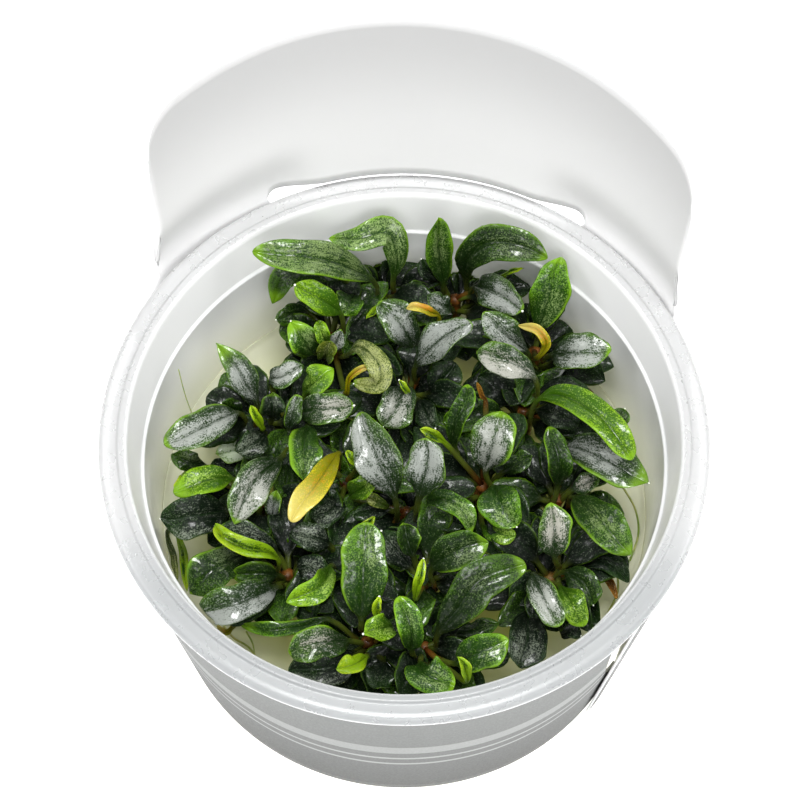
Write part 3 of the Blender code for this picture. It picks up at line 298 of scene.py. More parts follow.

# What the upper side of each leaf shows, in the order of its plantlet's leaves: the middle and half
# breadth of the silver area, silver speckles with painted sheen, across the blade from -1 at the left
# to 1 at the right, where that area starts and ends along the blade, how broad the light rim is on the
# right (+) or the left (-), how much of the tip is light, and, for a leaf whose tip isn't blunt, how
# pointed it is
MARKS = {
    "back_left": [(0.0, 1.1, 0.10, 0.95, -0.35, 0.12), (0.0, 1.0, 0.15, 0.95, 0.2, 0.08),
                  (0.0, 0.0, 0.0, 1.0, 0.2, 0.20), (0.1, 0.3, 0.40, 0.80, 0.2, 0.15)],
    "upper_left": [(0.0, 0.0, 0.0, 1.0, 0.0, 0.0), (0.0, 0.9, 0.10, 1.0, 0.1, 0.05),
                   (0.0, 0.2, 0.50, 0.90, 0.0, 0.0), (0.3, 0.5, 0.25, 0.90, -0.4, 0.35),
                   (0.0, 0.8, 0.30, 1.0, 0.0, 0.05)],
    "left_outer": [(-0.2, 0.6, 0.10, 0.70, 0.1, 0.27, 1.1), (-0.15, 0.55, 0.05, 0.97, 0.25, 0.08),
                   (0.0, 0.0, 0.0, 1.0, 0.0, 0.0), (0.0, 0.9, 0.10, 1.0, -0.2, 0.10),
                   (0.0, 0.8, 0.35, 0.95, 0.0, 0.0), (0.1, 0.35, 0.45, 0.80, -0.5, 0.20)],
    "left_inner": [(0.0, 0.65, 0.45, 0.96, 0.0, 0.04), (0.0, 0.5, 0.60, 0.92, 0.7, 0.0),
                   (-0.3, 0.75, 0.30, 0.95, -0.15, 0.10), (0.0, 0.8, 0.30, 1.0, 0.0, 0.0),
                   (-0.1, 0.7, 0.20, 0.90, 0.0, 0.0), (-0.2, 0.5, 0.10, 0.60, 0.4, 0.40),
                   (0.0, 0.0, 0.0, 1.0, 0.0, 0.0)],
    "left_low": [(-0.85, 0.25, 0.30, 0.85, -0.1, 0.0), (0.2, 0.35, 0.20, 0.80, -0.6, 0.30),
                 (0.5, 0.4, 0.20, 0.90, 0.0, 0.0), (0.0, 0.3, 0.40, 0.80, 0.0, 0.0),
                 (0.0, 0.6, 0.10, 0.70, 0.3, 0.30)],
    "front_left": [(0.0, 0.35, 0.05, 0.80, 0.4, 0.1), (-0.62, 0.55, 0.0, 1.0, 0.05, 0.03),
                   (0.2, 0.4, 0.35, 0.80, 0.15, 0.10), (0.3, 0.6, 0.0, 0.45, 0.3, 0.05),
                   (0.0, 0.0, 0.0, 1.0, 0.5, 0.15), (0.0, 0.5, 0.25, 0.80, 0.0, 0.0)],
    "low_left": [(-0.5, 0.35, 0.10, 0.60, 0.6, 0.15), (0.1, 0.7, 0.30, 0.90, 0.0, 0.0)],
    "inner_left": [(0.0, 0.12, 0.25, 0.70, 0.0, 0.0), (0.0, 0.6, 0.25, 0.90, 0.0, 0.0),
                   (0.0, 0.3, 0.50, 0.90, 0.3, 0.20), (0.0, 0.5, 0.30, 0.90, 0.0, 0.0)],
    "centre": [(-0.4, 0.6, 0.20, 0.95, 0.05, 0.04), (0.0, 0.8, 0.35, 0.95, 0.05, 0.05),
               (0.0, 0.7, 0.40, 0.95, 0.1, 0.10), (0.0, 0.3, 0.50, 0.80, 0.0, 0.0),
               (0.0, 0.0, 0.0, 1.0, 0.0, 0.0)],
    "centre_back": [(0.1, 0.9, 0.15, 1.0, 0.05, 0.03), (-0.1, 0.55, 0.25, 0.78, 0.05, 0.06),
                    (0.0, 0.6, 0.30, 0.90, 0.0, 0.0), (0.0, 0.5, 0.50, 0.90, 0.0, 0.0),
                    (0.0, 0.0, 0.0, 1.0, 0.15, 0.0)],
    "back_right": [(0.0, 0.45, 0.30, 0.90, 0.45, 0.06), (0.3, 0.6, 0.50, 0.90, -0.2, 0.10),
                   (0.1, 0.7, 0.45, 0.97, 0.05, 0.05), (0.0, 0.0, 0.0, 1.0, 0.0, 0.0),
                   (0.0, 0.5, 0.45, 0.90, 0.0, 0.0), (0.0, 0.0, 0.0, 1.0, 0.2, 0.0)],
    "right_high": [(-0.4, 0.62, 0.12, 0.95, 0.05, 0.04), (0.35, 0.55, 0.10, 0.60, 0.30, 0.12),
                   (0.1, 0.75, 0.30, 0.88, 0.10, 0.10)],
    "right": [(-0.45, 0.65, 0.0, 0.92, 0.05, 0.03), (0.1, 0.3, 0.40, 0.62, 0.30, 0.12),
              (0.0, 0.2, 0.50, 0.80, 0.0, 0.0), (0.1, 0.3, 0.30, 0.60, 0.0, 0.0)],
    "right_low": [(0.05, 0.50, 0.05, 0.72, 0.40, 0.20), (0.0, 0.45, 0.20, 0.85, 0.30, 0.15),
                  (0.0, 0.0, 0.0, 1.0, -0.35, 0.08), (0.0, 0.5, 0.25, 0.80, 0.0, 0.0)],
    "centre_right": [(-0.05, 0.6, 0.08, 0.86, 0.40, 0.15), (0.2, 0.65, 0.55, 0.95, 0.05, 0.05),
                     (0.0, 0.0, 0.0, 1.0, 0.2, 0.1), (0.0, 0.3, 0.50, 0.80, 0.0, 0.0),
                     (0.0, 0.8, 0.40, 1.0, 0.0, 0.0)],
    "front_middle": [(0.25, 0.5, 0.35, 0.82, 0.40, 0.20), (0.0, 0.4, 0.40, 0.80, 0.0, 0.0),
                     (0.0, 0.5, 0.40, 0.80, 0.0, 0.0), (0.0, 0.0, 0.0, 1.0, 0.4, 0.1)],
    "front_right": [(0.1, 0.65, 0.25, 0.92, -0.15, 0.06), (0.0, 0.55, 0.30, 0.93, 0.35, 0.10),
                    (0.0, 0.7, 0.40, 0.90, 0.3, 0.15), (0.0, 0.2, 0.50, 0.80, 0.0, 0.0),
                    (0.0, 0.0, 0.0, 1.0, 0.0, 0.0), (0.0, 0.7, 0.40, 0.90, 0.0, 0.0)],
    "front": [(-0.1, 0.3, 0.45, 0.82, 0.15, 0.10), (0.1, 0.3, 0.50, 0.80, -0.3, 0.12),
              (0.2, 0.3, 0.50, 0.88, 0.30, 0.15), (0.1, 0.6, 0.40, 0.90, 0.10, 0.12),
              (0.0, 0.3, 0.50, 0.80, 0.0, 0.0)],
    "front_centre": [(0.35, 0.4, 0.50, 0.92, -0.35, 0.05), (0.0, 0.0, 0.0, 1.0, 0.2, 0.1),
                     (0.15, 0.2, 0.35, 0.80, 0.2, 0.05), (-0.3, 0.5, 0.20, 0.80, 0.4, 0.15),
                     (-0.7, 0.4, 0.30, 1.0, 0.0, 0.0), (0.0, 0.2, 0.50, 0.80, 0.0, 0.0),
                     (0.0, 0.0, 0.0, 1.0, 0.5, 0.25)],
}

# Small leaves and shoots that are too fine for solids of their own, by plantlet
YOUNG = {
    "back_left": [("lime", 1.2, 0.3, 0, [(-3.0, 33.4, 40), (-5.0, 31.0, 44), (-6.6, 29.6, 45)])],
    "upper_left": [
        ("bright", 2.5, 0.5, 0, [(-13.0, 24.4, 44), (-14.0, 26.6, 48), (-14.6, 29.2, 49)]),
        ("olive", 3.2, 0.9, 0, [(-13.4, 22.2, 45), (-13.2, 23.4, 48), (-12.6, 25.2, 49)]),
        ("yellow", 1.2, 0.2, 0, [(-10.0, 15.2, 44), (-9.3, 18.0, 49), (-7.3, 19.8, 52), (-5.4, 20.3, 52)]),
    ],
    "left_outer": [
        ("lime", 1.6, 0.3, 0, [(-23.8, 8.4, 44), (-25.0, 10.6, 49), (-26.0, 12.8, 51)]),
    ],
    "left_inner": [
        ("silver", 2.9, 0.2, 0, [(-19.3, 8.2, 44), (-18.8, 11.2, 48), (-18.2, 14.9, 50)]),
    ],
    "left_low": [
        ("lime", 2.4, 0.2, 0, [(-34.6, 0.4, 39), (-36.6, -1.4, 41), (-38.2, -3.2, 42)]),
        ("lime", 1.5, 0.1, 0, [(-36.6, -9.0, 30), (-36.3, -15.5, 34), (-35.8, -21.5, 37)]),
        ("olive", 1.2, 0.1, 0, [(-38.2, -9.5, 30), (-38.0, -15.5, 34), (-37.4, -21.0, 37)]),
    ],
    "front_left": [
        ("yellow", 1.2, 0.4, 0, [(-27.0, -26.6, 38), (-29.0, -28.8, 37), (-30.6, -27.6, 37)]),
    ],
    "inner_left": [
        ("lime", 1.5, 0.3, 0, [(-7.8, 1.2, 45), (-8.8, 2.6, 49), (-9.7, 4.3, 50)]),
        ("olive", 2.2, 0.2, 0, [(-3.0, -6.0, 43), (-5.0, -5.0, 46), (-6.6, -4.2, 47)]),
    ],
    "centre": [
        ("bright", 3.6, 0.6, 0, [(-8.4, -4.6, 43), (-6.8, -2.5, 48), (-5.1, -0.6, 49)]),
        ("lime", 2.0, 0.3, 0, [(-8.0, -12.0, 44), (-6.4, -10.2, 48), (-4.9, -8.0, 50)]),
    ],
    "centre_back": [
        ("lime", 1.2, 0.2, 0, [(1.0, 14.4, 44), (0.2, 16.0, 48), (-0.8, 17.7, 49)]),
        ("yellow", 1.7, 0.3, 0, [(5.9, 28.2, 47), (4.4, 30.8, 51), (2.2, 31.8, 52), (0.4, 31.6, 51)]),
    ],
    "back_right": [("lime", 0.9, 0.1, 0, [(16.4, 37.4, 47), (18.5, 38.8, 51), (20.6, 39.4, 53)])],
    "right_high": [
        ("yellow", 1.8, 0.3, 0,
         [(22.6, 21.8, 48), (24.3, 24.4, 52), (22.9, 27.2, 54), (19.6, 28.3, 53)]),
    ],
    "right": [
        ("stalk", 1.2, 0.1, 0, [(31.6, 13.9, 36), (29.4, 17.2, 38), (26.7, 19.9, 38)]),
        ("deep", 3.4, 0.2, 0, [(34.4, 8.0, 42), (36.2, 10.2, 46), (37.3, 12.2, 47)]),
    ],
    "right_low": [("dark", 2.4, 0.1, 0, [(25.4, -27.0, 40), (27.2, -28.4, 42), (28.8, -29.4, 42)])],
    "centre_right": [
        ("lime", 1.8, 0.3, 0, [(7.5, 5.0, 48), (5.2, 7.0, 52), (2.7, 8.5, 54)]),
        ("stalk", 0.9, 0.0, 0, [(13.8, 12.0, 45), (13.2, 14.6, 48), (12.4, 17.2, 51)]),
    ],
    "front_middle": [("lime", 1.7, 0.3, 0, [(1.8, -22.8, 43), (2.4, -19.4, 49), (3.3, -15.6, 51)])],
    "front_right": [("stalk", 1.4, 0.2, 0, [(31.4, -17.0, 37), (33.6, -19.6, 37), (34.9, -22.8, 36)])],
    "front": [("lime", 1.8, 0.5, 0, [(9.6, -37.2, 45), (9.8, -35.0, 50), (8.7, -33.0, 52)])],
    "front_centre": [("lime", 1.5, 0.3, 0, [(-4.4, -27.0, 44), (-4.6, -24.4, 48), (-4.0, -22.4, 49)])],
}

# Roots above the gel, as points from one end to the other, and their radius: one that leans against the
# wall at the left, a fibre at the back right, and five that reach from the stems down to the gel
AIR_ROOTS = [
    ([(-38.4, 19.7, 46), (-37.6, 16.5, 43), (-36.6, 13.2, 40), (-35.3, 10.0, 37)], 0.10),
    ([(25.4, 40.3, 53.0), (26.2, 39.7, 53.4), (27.0, 39.0, 53.2), (27.9, 38.2, 52.6)], 0.10),
    ([(-34.8, -25.5, 31), (-32.5, -28.5, 33), (-28.6, -31.0, 32), (-24.6, -34.4, 29)], 0.22),
    ([(-30.5, -26.0, 33), (-28.0, -29.5, 34), (-25.2, -31.5, 32), (-22.8, -35.2, 29.5)], 0.20),
    ([(-25.8, -28.5, 35), (-24.6, -31.0, 34), (-24.4, -34.0, 31), (-25.0, -37.0, 29)], 0.16),
    ([(33.0, -14.0, 35), (34.8, -17.6, 33), (35.0, -21.5, 31), (33.0, -26.0, 29)], 0.22),
    ([(36.5, -2.5, 36), (38.4, -6.5, 34), (38.8, -11.0, 31), (37.2, -16.0, 29)], 0.20),
]

# Dark leaves deep in each plantlet, their near-black colour partly painted shade in the gaps between
# the leaves: how many, and the range of their length and width
FILLERS = 18
FILLER_LENGTH = (8.0, 14.5)
FILLER_WIDTH = (4.4, 6.6)
FILLER_MARK = (0.0, 0.0, 0.0, 1.0, 0.1, 0.0)
GOLDEN_TURN = 2.39996

# Dark and light colour of the blade, colour and share of its marked area, which on most looks is silver
# speckles with painted sheen, share of its light rim, share of its cream-coloured tip, roughness, and how
# strong its gloss is
LOOKS = {
    "mid": ((0.007, 0.027, 0.001), (0.060, 0.150, 0.002), (0.135, 0.195, 0.065),
            0.50, 0.85, 0.0, 0.42, 0.80),
    "deep": ((0.004, 0.014, 0.001), (0.034, 0.088, 0.002), (0.100, 0.138, 0.060),
             0.46, 0.70, 0.0, 0.40, 0.80),
    # The dark look is nearly black: the leaves' own dark green, with painted shade for the gaps deep among
    # the leaves
    "dark": ((0.001, 0.004, 0.001), (0.008, 0.026, 0.002), (0.110, 0.128, 0.095),
             0.50, 0.35, 0.0, 0.42, 0.30),
    "silver": ((0.007, 0.020, 0.003), (0.044, 0.102, 0.004), (0.232, 0.250, 0.226),
               0.84, 0.80, 0.0, 0.38, 0.80),
    "bright": ((0.022, 0.066, 0.001), (0.125, 0.235, 0.002), (0.190, 0.290, 0.050),
               0.46, 0.85, 0.0, 0.42, 0.60),
    "lime": ((0.130, 0.230, 0.003), (0.290, 0.380, 0.008), (0.006, 0.028, 0.001),
             0.95, 0.60, 0.0, 0.42, 0.50),
    "yellow": ((0.170, 0.170, 0.001), (0.480, 0.420, 0.012), (0.360, 0.150, 0.008),
               0.95, 0.00, 0.9, 0.46, 0.30),
    "olive": ((0.020, 0.038, 0.002), (0.105, 0.130, 0.008), (0.200, 0.220, 0.080),
              0.60, 0.50, 0.0, 0.42, 0.50),
    "pale": ((0.040, 0.095, 0.012), (0.160, 0.240, 0.060), (0.300, 0.350, 0.250),
             0.90, 0.70, 0.0, 0.40, 0.50),
    "stalk": ((0.110, 0.040, 0.005), (0.280, 0.140, 0.016), (0.400, 0.300, 0.100),
              0.00, 0.00, 0.0, 0.44, 0.30),
}
# What the marked area's colour, silver speckles with painted sheen, turns to on a lighter leaf
TAN_MARKS = {"silver": (0.222, 0.212, 0.176)}
RIM_GREEN = (0.120, 0.240, 0.006)
RIB_DARK = (0.003, 0.014, 0.001)
UNDERSIDE = (0.115, 0.215, 0.010)
CREAM_TIP = (0.430, 0.360, 0.090)
# The white of a drop at a leaf's tip is a painted glint
TIP_BEAD_PAINTED_GLINT = (0.700, 0.720, 0.640)
STALK_RED = (0.130, 0.032, 0.005)
STALK_OLIVE = (0.070, 0.095, 0.010)

# The plastic: two tones of the milky wall; its colour low down, painted lighter for light that the wall
# carries inwards, and its tint there; the strip above the ledge; the flange at the sides and, painted
# greyer as shade for the grey print seen through it, in front; a painted highlight along its lip; and a
# faint glow, painted light that stands for the same light carried inwards
WALL_MILKY = ((0.60, 0.61, 0.61), (0.64, 0.645, 0.645))
WALL_LOW_PAINTED_LIGHT = (0.98, 0.98, 0.975)
WALL_TINT = (0.90, 0.91, 0.66)
ABOVE_LEDGE = (0.82, 0.825, 0.825)
FLANGE_SIDE = (0.640, 0.645, 0.645)
FLANGE_FRONT_PAINTED_SHADE = (0.440, 0.455, 0.460)
LIP_PAINTED_HIGHLIGHT = (0.80, 0.80, 0.80)
WALL_GLOW = 0.09

# The gel: its two tones, its colour beside the wall, and a faint glow painted in for light scattered
# inside it
GEL_TONES = ((0.60, 0.62, 0.15), (0.78, 0.79, 0.34))
GEL_BESIDE_WALL = (0.89, 0.90, 0.71)
GEL_PAINTED_GLOW = 0.02

# Stems, their pale scars, and roots
STEM_TONES = ((0.034, 0.012, 0.002), (0.140, 0.050, 0.008))
STEM_SCAR = (0.110, 0.085, 0.018)
ROOT_TONES = ((0.14, 0.22, 0.03), (0.46, 0.44, 0.14))
ROOTS_PER_STEM = 5
ROOT_STEPS = 24
AIR_ROOT_STEPS = 20
ROOT_LENGTH = (12.0, 26.0)
ROOT_RADIUS = (0.16, 0.30)

# Studio: softboxes with their place and size in metres and their power in watts, how strong the
# surroundings are, and the floor
SOFTBOXES = (
    ("overhead", (0.0, -0.06, 1.0), (0.45, 0.36), 10.0),
    ("left_box", (-0.9, -0.1, 0.8), (0.5, 0.7), 3.5),
    ("right_box", (0.9, 0.0, 0.8), (0.5, 0.7), 4.0),
    ("front_box", (0.1, -0.9, 0.8), (0.9, 0.6), 6.5),
)
AIM = Vector((0.0, 0.0, 0.04))
SURROUNDINGS = 0.50
FLOOR_TONES = ((0.90, 0.90, 0.90), (0.92, 0.92, 0.92))
FLOOR_GLOW = 0.50
FLOOR_REACH = 4.0
FLOOR_HEIGHT = -0.0002

# Values carried by each point of a plant mesh: place along the leaf from 0 to 2, place across it
# from -1 to 1, 1 on its underside, the strength of its silver marks with their painted sheen, how light
# the whole leaf is, and the strength of its light rim, which is 2 on a bead at the tip, painted white
# as the glint of a drop
POINT_VALUES = ("place", "across", "under", "silver", "tone", "rim")


def smooth(low, high, value):
    """Rise from 0 at low to 1 at high without a corner at either end."""
    share = min(1.0, max(0.0, (value - low) / (high - low)))
    return share * share * (3.0 - 2.0 * share)


class Shape:
    """The points, faces, material slots and point values of one mesh, in millimetres."""

    def __init__(self):
        self.points = []
        self.faces = []
        self.slots = []
        self.values = {name: [] for name in POINT_VALUES}

    def add(self, points, faces, slot=0, **values):
        """Append a part; each value is a list with one number per point, or one number for all."""
        first = len(self.points)
        self.points += points
        self.faces += [tuple(first + corner for corner in face) for face in faces]
        self.slots += [slot] * len(faces)
        for name in POINT_VALUES:
            value = values.get(name, 0.0)
            self.values[name] += value if isinstance(value, list) else [value] * len(points)

    def piece(self, name, materials, slot, *replaced):
        """Make the object, let it ride on the frame and stand for the solids named."""
        mesh = bpy.data.meshes.new(name)
        mesh.from_pydata([Vector(point) * MM for point in self.points], [], self.faces)
        for material in materials:
            mesh.materials.append(material)
        mesh.polygons.foreach_set("material_index", self.slots)
        for value_name, values in self.values.items():
            attribute = mesh.attributes.new(value_name, "FLOAT", "POINT")
            attribute.data.foreach_set("value", values)
        mesh.shade_smooth()
        piece = bpy.data.objects.new(name, mesh)
        bpy.context.scene.collection.objects.link(piece)
        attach(piece, "root")
        if replaced:
            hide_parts(*replaced)
        return piece


# Materials

def new_material(name):
    """A material with its node tree and its Principled shader."""
    material = bpy.data.materials.new(name)
    material.use_nodes = True
    tree = material.node_tree
    return material, tree, tree.nodes["Principled BSDF"]


def wire(tree, socket, value):
    """Link a socket to another node's output, or set its value."""
    if isinstance(value, bpy.types.NodeSocket):
        tree.links.new(value, socket)
    elif isinstance(value, tuple) and len(value) == 3:
        socket.default_value = (*value, 1.0) if socket.type == "RGBA" else value
    else:
        socket.default_value = value


def colour_mix(tree, factor, first, second):
    """The first colour where the factor is 0, the second where it is 1."""
    node = tree.nodes.new("ShaderNodeMix")
    node.data_type = "RGBA"
    wire(tree, node.inputs[0], factor)
    wire(tree, node.inputs[6], first)
    wire(tree, node.inputs[7], second)
    return node.outputs[2]


def calculate(tree, operation, first, second=0.0):
    """One sum on numbers."""
    node = tree.nodes.new("ShaderNodeMath")
    node.operation = operation
    wire(tree, node.inputs[0], first)
    wire(tree, node.inputs[1], second)
    return node.outputs[0]


def times(tree, first, second):
    """The product of two numbers."""
    return calculate(tree, "MULTIPLY", first, second)


def plus(tree, first, second):
    """The sum of two numbers."""
    return calculate(tree, "ADD", first, second)


def between(tree, value, low, high, start=0.0, end=1.0):
    """Go smoothly from start to end while the value goes from low to high."""
    node = tree.nodes.new("ShaderNodeMapRange")
    node.interpolation_type = "SMOOTHSTEP"
    for index, setting in enumerate((value, low, high, start, end)):
        wire(tree, node.inputs[index], setting)
    return node.outputs[0]


def object_place(tree):
    """The point's place in object space, in metres."""
    return tree.nodes.new("ShaderNodeTexCoord").outputs["Object"]


def coordinate(tree, axis):
    """The point's place along one axis, in metres."""
    node = tree.nodes.new("ShaderNodeSeparateXYZ")
    wire(tree, node.inputs[0], object_place(tree))
    return node.outputs[axis]


def noise_at(tree, place, scale, detail):
    """Noise at a place, with scale waves per unit."""
    node = tree.nodes.new("ShaderNodeTexNoise")
    tree.links.new(place, node.inputs["Vector"])
    node.inputs["Scale"].default_value = scale
    node.inputs["Detail"].default_value = detail
    return node.outputs[0]


def cloud(tree, scale, detail=2.0, stretch=None):
    """Noise in object space. Scale is in waves per metre."""
    place = object_place(tree)
    if stretch:
        mapping = tree.nodes.new("ShaderNodeMapping")
        mapping.inputs["Scale"].default_value = stretch
        tree.links.new(place, mapping.inputs[0])
        place = mapping.outputs[0]
    return noise_at(tree, place, scale, detail)


def patches(tree, scale, detail, low, high, start=0.0, end=1.0):
    """Go smoothly from start to end where such noise goes from low to high."""
    return between(tree, cloud(tree, scale, detail), low, high, start, end)


def streaks(tree, along, across):
    """Noise that follows a leaf: waves per blade length and per half breadth."""
    place = tree.nodes.new("ShaderNodeCombineXYZ")
    for index, (name, waves) in enumerate((("place", along), ("across", across), ("tone", 60.0))):
        wire(tree, place.inputs[index], times(tree, point_value(tree, name), waves))
    return noise_at(tree, place.outputs[0], 1.0, 2.0)


def point_value(tree, name):
    """One of the values carried by the points."""
    node = tree.nodes.new("ShaderNodeAttribute")
    node.attribute_name = name
    return node.outputs["Fac"]


def bump(tree, shader, height, distance, strength):
    """Raise the surface by height, up to a distance in millimetres."""
    node = tree.nodes.new("ShaderNodeBump")
    node.inputs["Distance"].default_value = distance * MM
    node.inputs["Strength"].default_value = strength
    tree.links.new(height, node.inputs["Height"])
    tree.links.new(node.outputs["Normal"], shader.inputs["Normal"])


def dotted(tree, grain, wanted, low, high):
    """A mask of fine dots that close up where more is wanted."""
    return between(tree, plus(tree, grain, wanted), low, high)


def axis_distance(tree):
    """The point's distance from the cup's axis, in metres."""
    squares = []
    for axis in "XY":
        along = coordinate(tree, axis)
        squares.append(times(tree, along, along))
    return calculate(tree, "SQRT", plus(tree, *squares))


def blade_colour(tree, look, place, off_rib, fine):
    """Mottled green with a marked area of silver speckles and painted sheen that breaks up into dots,
    and a darker midrib.
    """
    dark, light, marked, marked_share = LOOKS[look][:4]
    fresh = times(tree, cloud(tree, 330.0, 3.0), 0.35)
    fresh = plus(tree, fresh, between(tree, place, 1.05, 2.0, -0.12, 0.10))
    fresh = plus(tree, fresh, between(tree, off_rib, 0.55, 1.0, 0.0, 0.13))
    green = colour_mix(tree, dotted(tree, times(tree, fine, 0.62), fresh, 0.46, 0.72), dark, light)
    # The marked area is the leaf's silver speckles together with painted sheen
    wanted = times(tree, point_value(tree, "silver"), marked_share * 0.58)
    wanted = times(tree, wanted, between(tree, off_rib, 0.02, 0.20, 0.52, 1.0))
    wanted = times(tree, wanted, patches(tree, 340.0, 2.0, 0.34, 0.62, 0.62, 1.12))
    grain = plus(tree, fine, times(tree, streaks(tree, 12.0, 11.0), 0.72))
    tan = between(tree, point_value(tree, "tone"), 0.0, 0.25, 0.0, 0.85)
    mark = colour_mix(tree, tan, marked, TAN_MARKS.get(look, marked))
    colour = colour_mix(tree, dotted(tree, grain, wanted, 0.92, 1.36), green, mark)
    rib = times(tree, between(tree, off_rib, 0.02, 0.09, 0.40, 0.0), between(tree, place, 0.95, 1.15))
    return colour_mix(tree, rib, colour, RIB_DARK)


def leaf_material(look):
    """A waxy leaf: its blade, painted darker towards its base as shade, a light rim and tip, a paler
    underside and a reddish stalk.
    """
    rim_share, cream_share, roughness, gloss = LOOKS[look][4:]
    material, tree, shader = new_material(f"leaf_{look}")
    place = point_value(tree, "place")
    rim = point_value(tree, "rim")
    off_rib = calculate(tree, "ABSOLUTE", point_value(tree, "across"))
    fine = cloud(tree, 4300.0, 1.0)

    colour = blade_colour(tree, look, place, off_rib, fine)
    colour = colour_mix(tree, between(tree, place, 1.40, 1.95, 0.0, cream_share), colour, CREAM_TIP)
    colour = colour_mix(tree, times(tree, between(tree, rim, 0.0, 1.0), rim_share), colour, RIM_GREEN)
    colour = colour_mix(tree, times(tree, point_value(tree, "under"), 0.85), colour, UNDERSIDE)
    # Painted glint: the drop at a leaf's tip is white
    colour = colour_mix(tree, between(tree, rim, 1.2, 1.6), colour, TIP_BEAD_PAINTED_GLINT)
    stalk = colour_mix(tree, between(tree, place, 0.0, 0.6), STALK_RED, STALK_OLIVE)
    colour = colour_mix(tree, between(tree, place, 0.85, 1.15), stalk, colour)

    tint = tree.nodes.new("ShaderNodeHueSaturation")
    # Painted shade: each leaf's own tone, darkened towards the blade's base deep in the plantlet
    shade = plus(tree, point_value(tree, "tone"), between(tree, place, 1.0, 1.45, 0.66, 1.08))
    wire(tree, tint.inputs["Value"], shade)
    wire(tree, tint.inputs["Color"], colour)
    wire(tree, shader.inputs["Base Color"], tint.outputs[0])

    worn = patches(tree, 900.0, 2.0, 0.3, 0.7, roughness - 0.06, roughness + 0.10)
    wire(tree, shader.inputs["Roughness"], worn)
    shader.inputs["Specular IOR Level"].default_value = 0.12
    waxy = patches(tree, 1400.0, 2.0, 0.42, 0.62, 0.06 * gloss, 1.25 * gloss)
    wire(tree, shader.inputs["Coat Weight"], waxy)
    shader.inputs["Coat Roughness"].default_value = 0.08
    relief = plus(tree, times(tree, fine, 1.3), times(tree, cloud(tree, 700.0, 2.0), 3.5))
    bump(tree, shader, relief, 0.06, 0.6)
    return material


def plastic_material():
    """Moulded plastic: a milky wall, painted lighter low down for light that the wall carries inwards
    and tinted there, where a faint glow stands for the same light, and a clearer flange, painted
    greyer in front as shade for the grey print seen through it, with a painted highlight on its lip."""
    material, tree, shader = new_material("milky_plastic")
    height = coordinate(tree, "Z")
    colour = colour_mix(tree, patches(tree, 45.0, 3.0, 0.3, 0.7), *WALL_MILKY)
    # Painted light: the wall is lighter low down, for light that it carries inwards
    colour = colour_mix(tree, between(tree, height, 0.034, 0.053, 1.0, 0.0), colour, WALL_LOW_PAINTED_LIGHT)
    colour = colour_mix(tree, between(tree, height, 0.026, 0.046, 0.62, 0.0), colour, WALL_TINT)
    colour = colour_mix(tree, between(tree, height, 0.0482, 0.0488), colour, ABOVE_LEDGE)
    clear = between(tree, axis_distance(tree), 0.0451, 0.0460)
    # Painted shade: the flange is greyer in front, for the grey print seen through it
    front_painted_shade = between(tree, coordinate(tree, "Y"), -0.030, -0.012, 1.0, 0.0)
    flange = colour_mix(tree, front_painted_shade, FLANGE_SIDE, FLANGE_FRONT_PAINTED_SHADE)
    # Painted highlight: a light line along the flange's lip
    lip = times(tree, clear, between(tree, height, 0.0551, 0.0556, 1.0, 0.0))
    flange = colour_mix(tree, lip, flange, LIP_PAINTED_HIGHLIGHT)
    colour = colour_mix(tree, clear, colour, flange)
    wire(tree, shader.inputs["Base Color"], colour)
    worn = patches(tree, 420.0, 2.0, 0.3, 0.7, 0.18, 0.24)
    wire(tree, shader.inputs["Roughness"], plus(tree, worn, times(tree, clear, 0.08)))
    seen_through = between(tree, calculate(tree, "SUBTRACT", clear, lip), 0.0, 1.0, 0.06, 0.42)
    wire(tree, shader.inputs["Transmission Weight"], seen_through)
    wire(tree, shader.inputs["Emission Color"], colour)
    wire(tree, shader.inputs["Emission Strength"], between(tree, height, 0.026, 0.048, WALL_GLOW, 0.0))
    shader.inputs["IOR"].default_value = 1.49
    bump(tree, shader, cloud(tree, 110.0, 1.0), 0.03, 0.15)
    return material


def gel_material():
    """Slightly cloudy, cream-coloured nutrient gel, paler beside the wall, with a very faint glow that is
    painted light for light scattered inside it.
    """
    material, tree, shader = new_material("nutrient_gel")
    colour = colour_mix(tree, patches(tree, 90.0, 3.0, 0.3, 0.7), *GEL_TONES)
    colour = colour_mix(tree, between(tree, axis_distance(tree), 0.026, 0.041), colour, GEL_BESIDE_WALL)
    wire(tree, shader.inputs["Base Color"], colour)
    wire(tree, shader.inputs["Roughness"], patches(tree, 300.0, 2.0, 0.3, 0.7, 0.16, 0.26))
    shader.inputs["Transmission Weight"].default_value = 0.50
    # Painted light: a faint glow for light scattered inside the gel
    wire(tree, shader.inputs["Emission Color"], colour)
    shader.inputs["Emission Strength"].default_value = GEL_PAINTED_GLOW
    shader.inputs["IOR"].default_value = 1.34
    bump(tree, shader, cloud(tree, 210.0, 2.0), 0.2, 0.2)
    return material


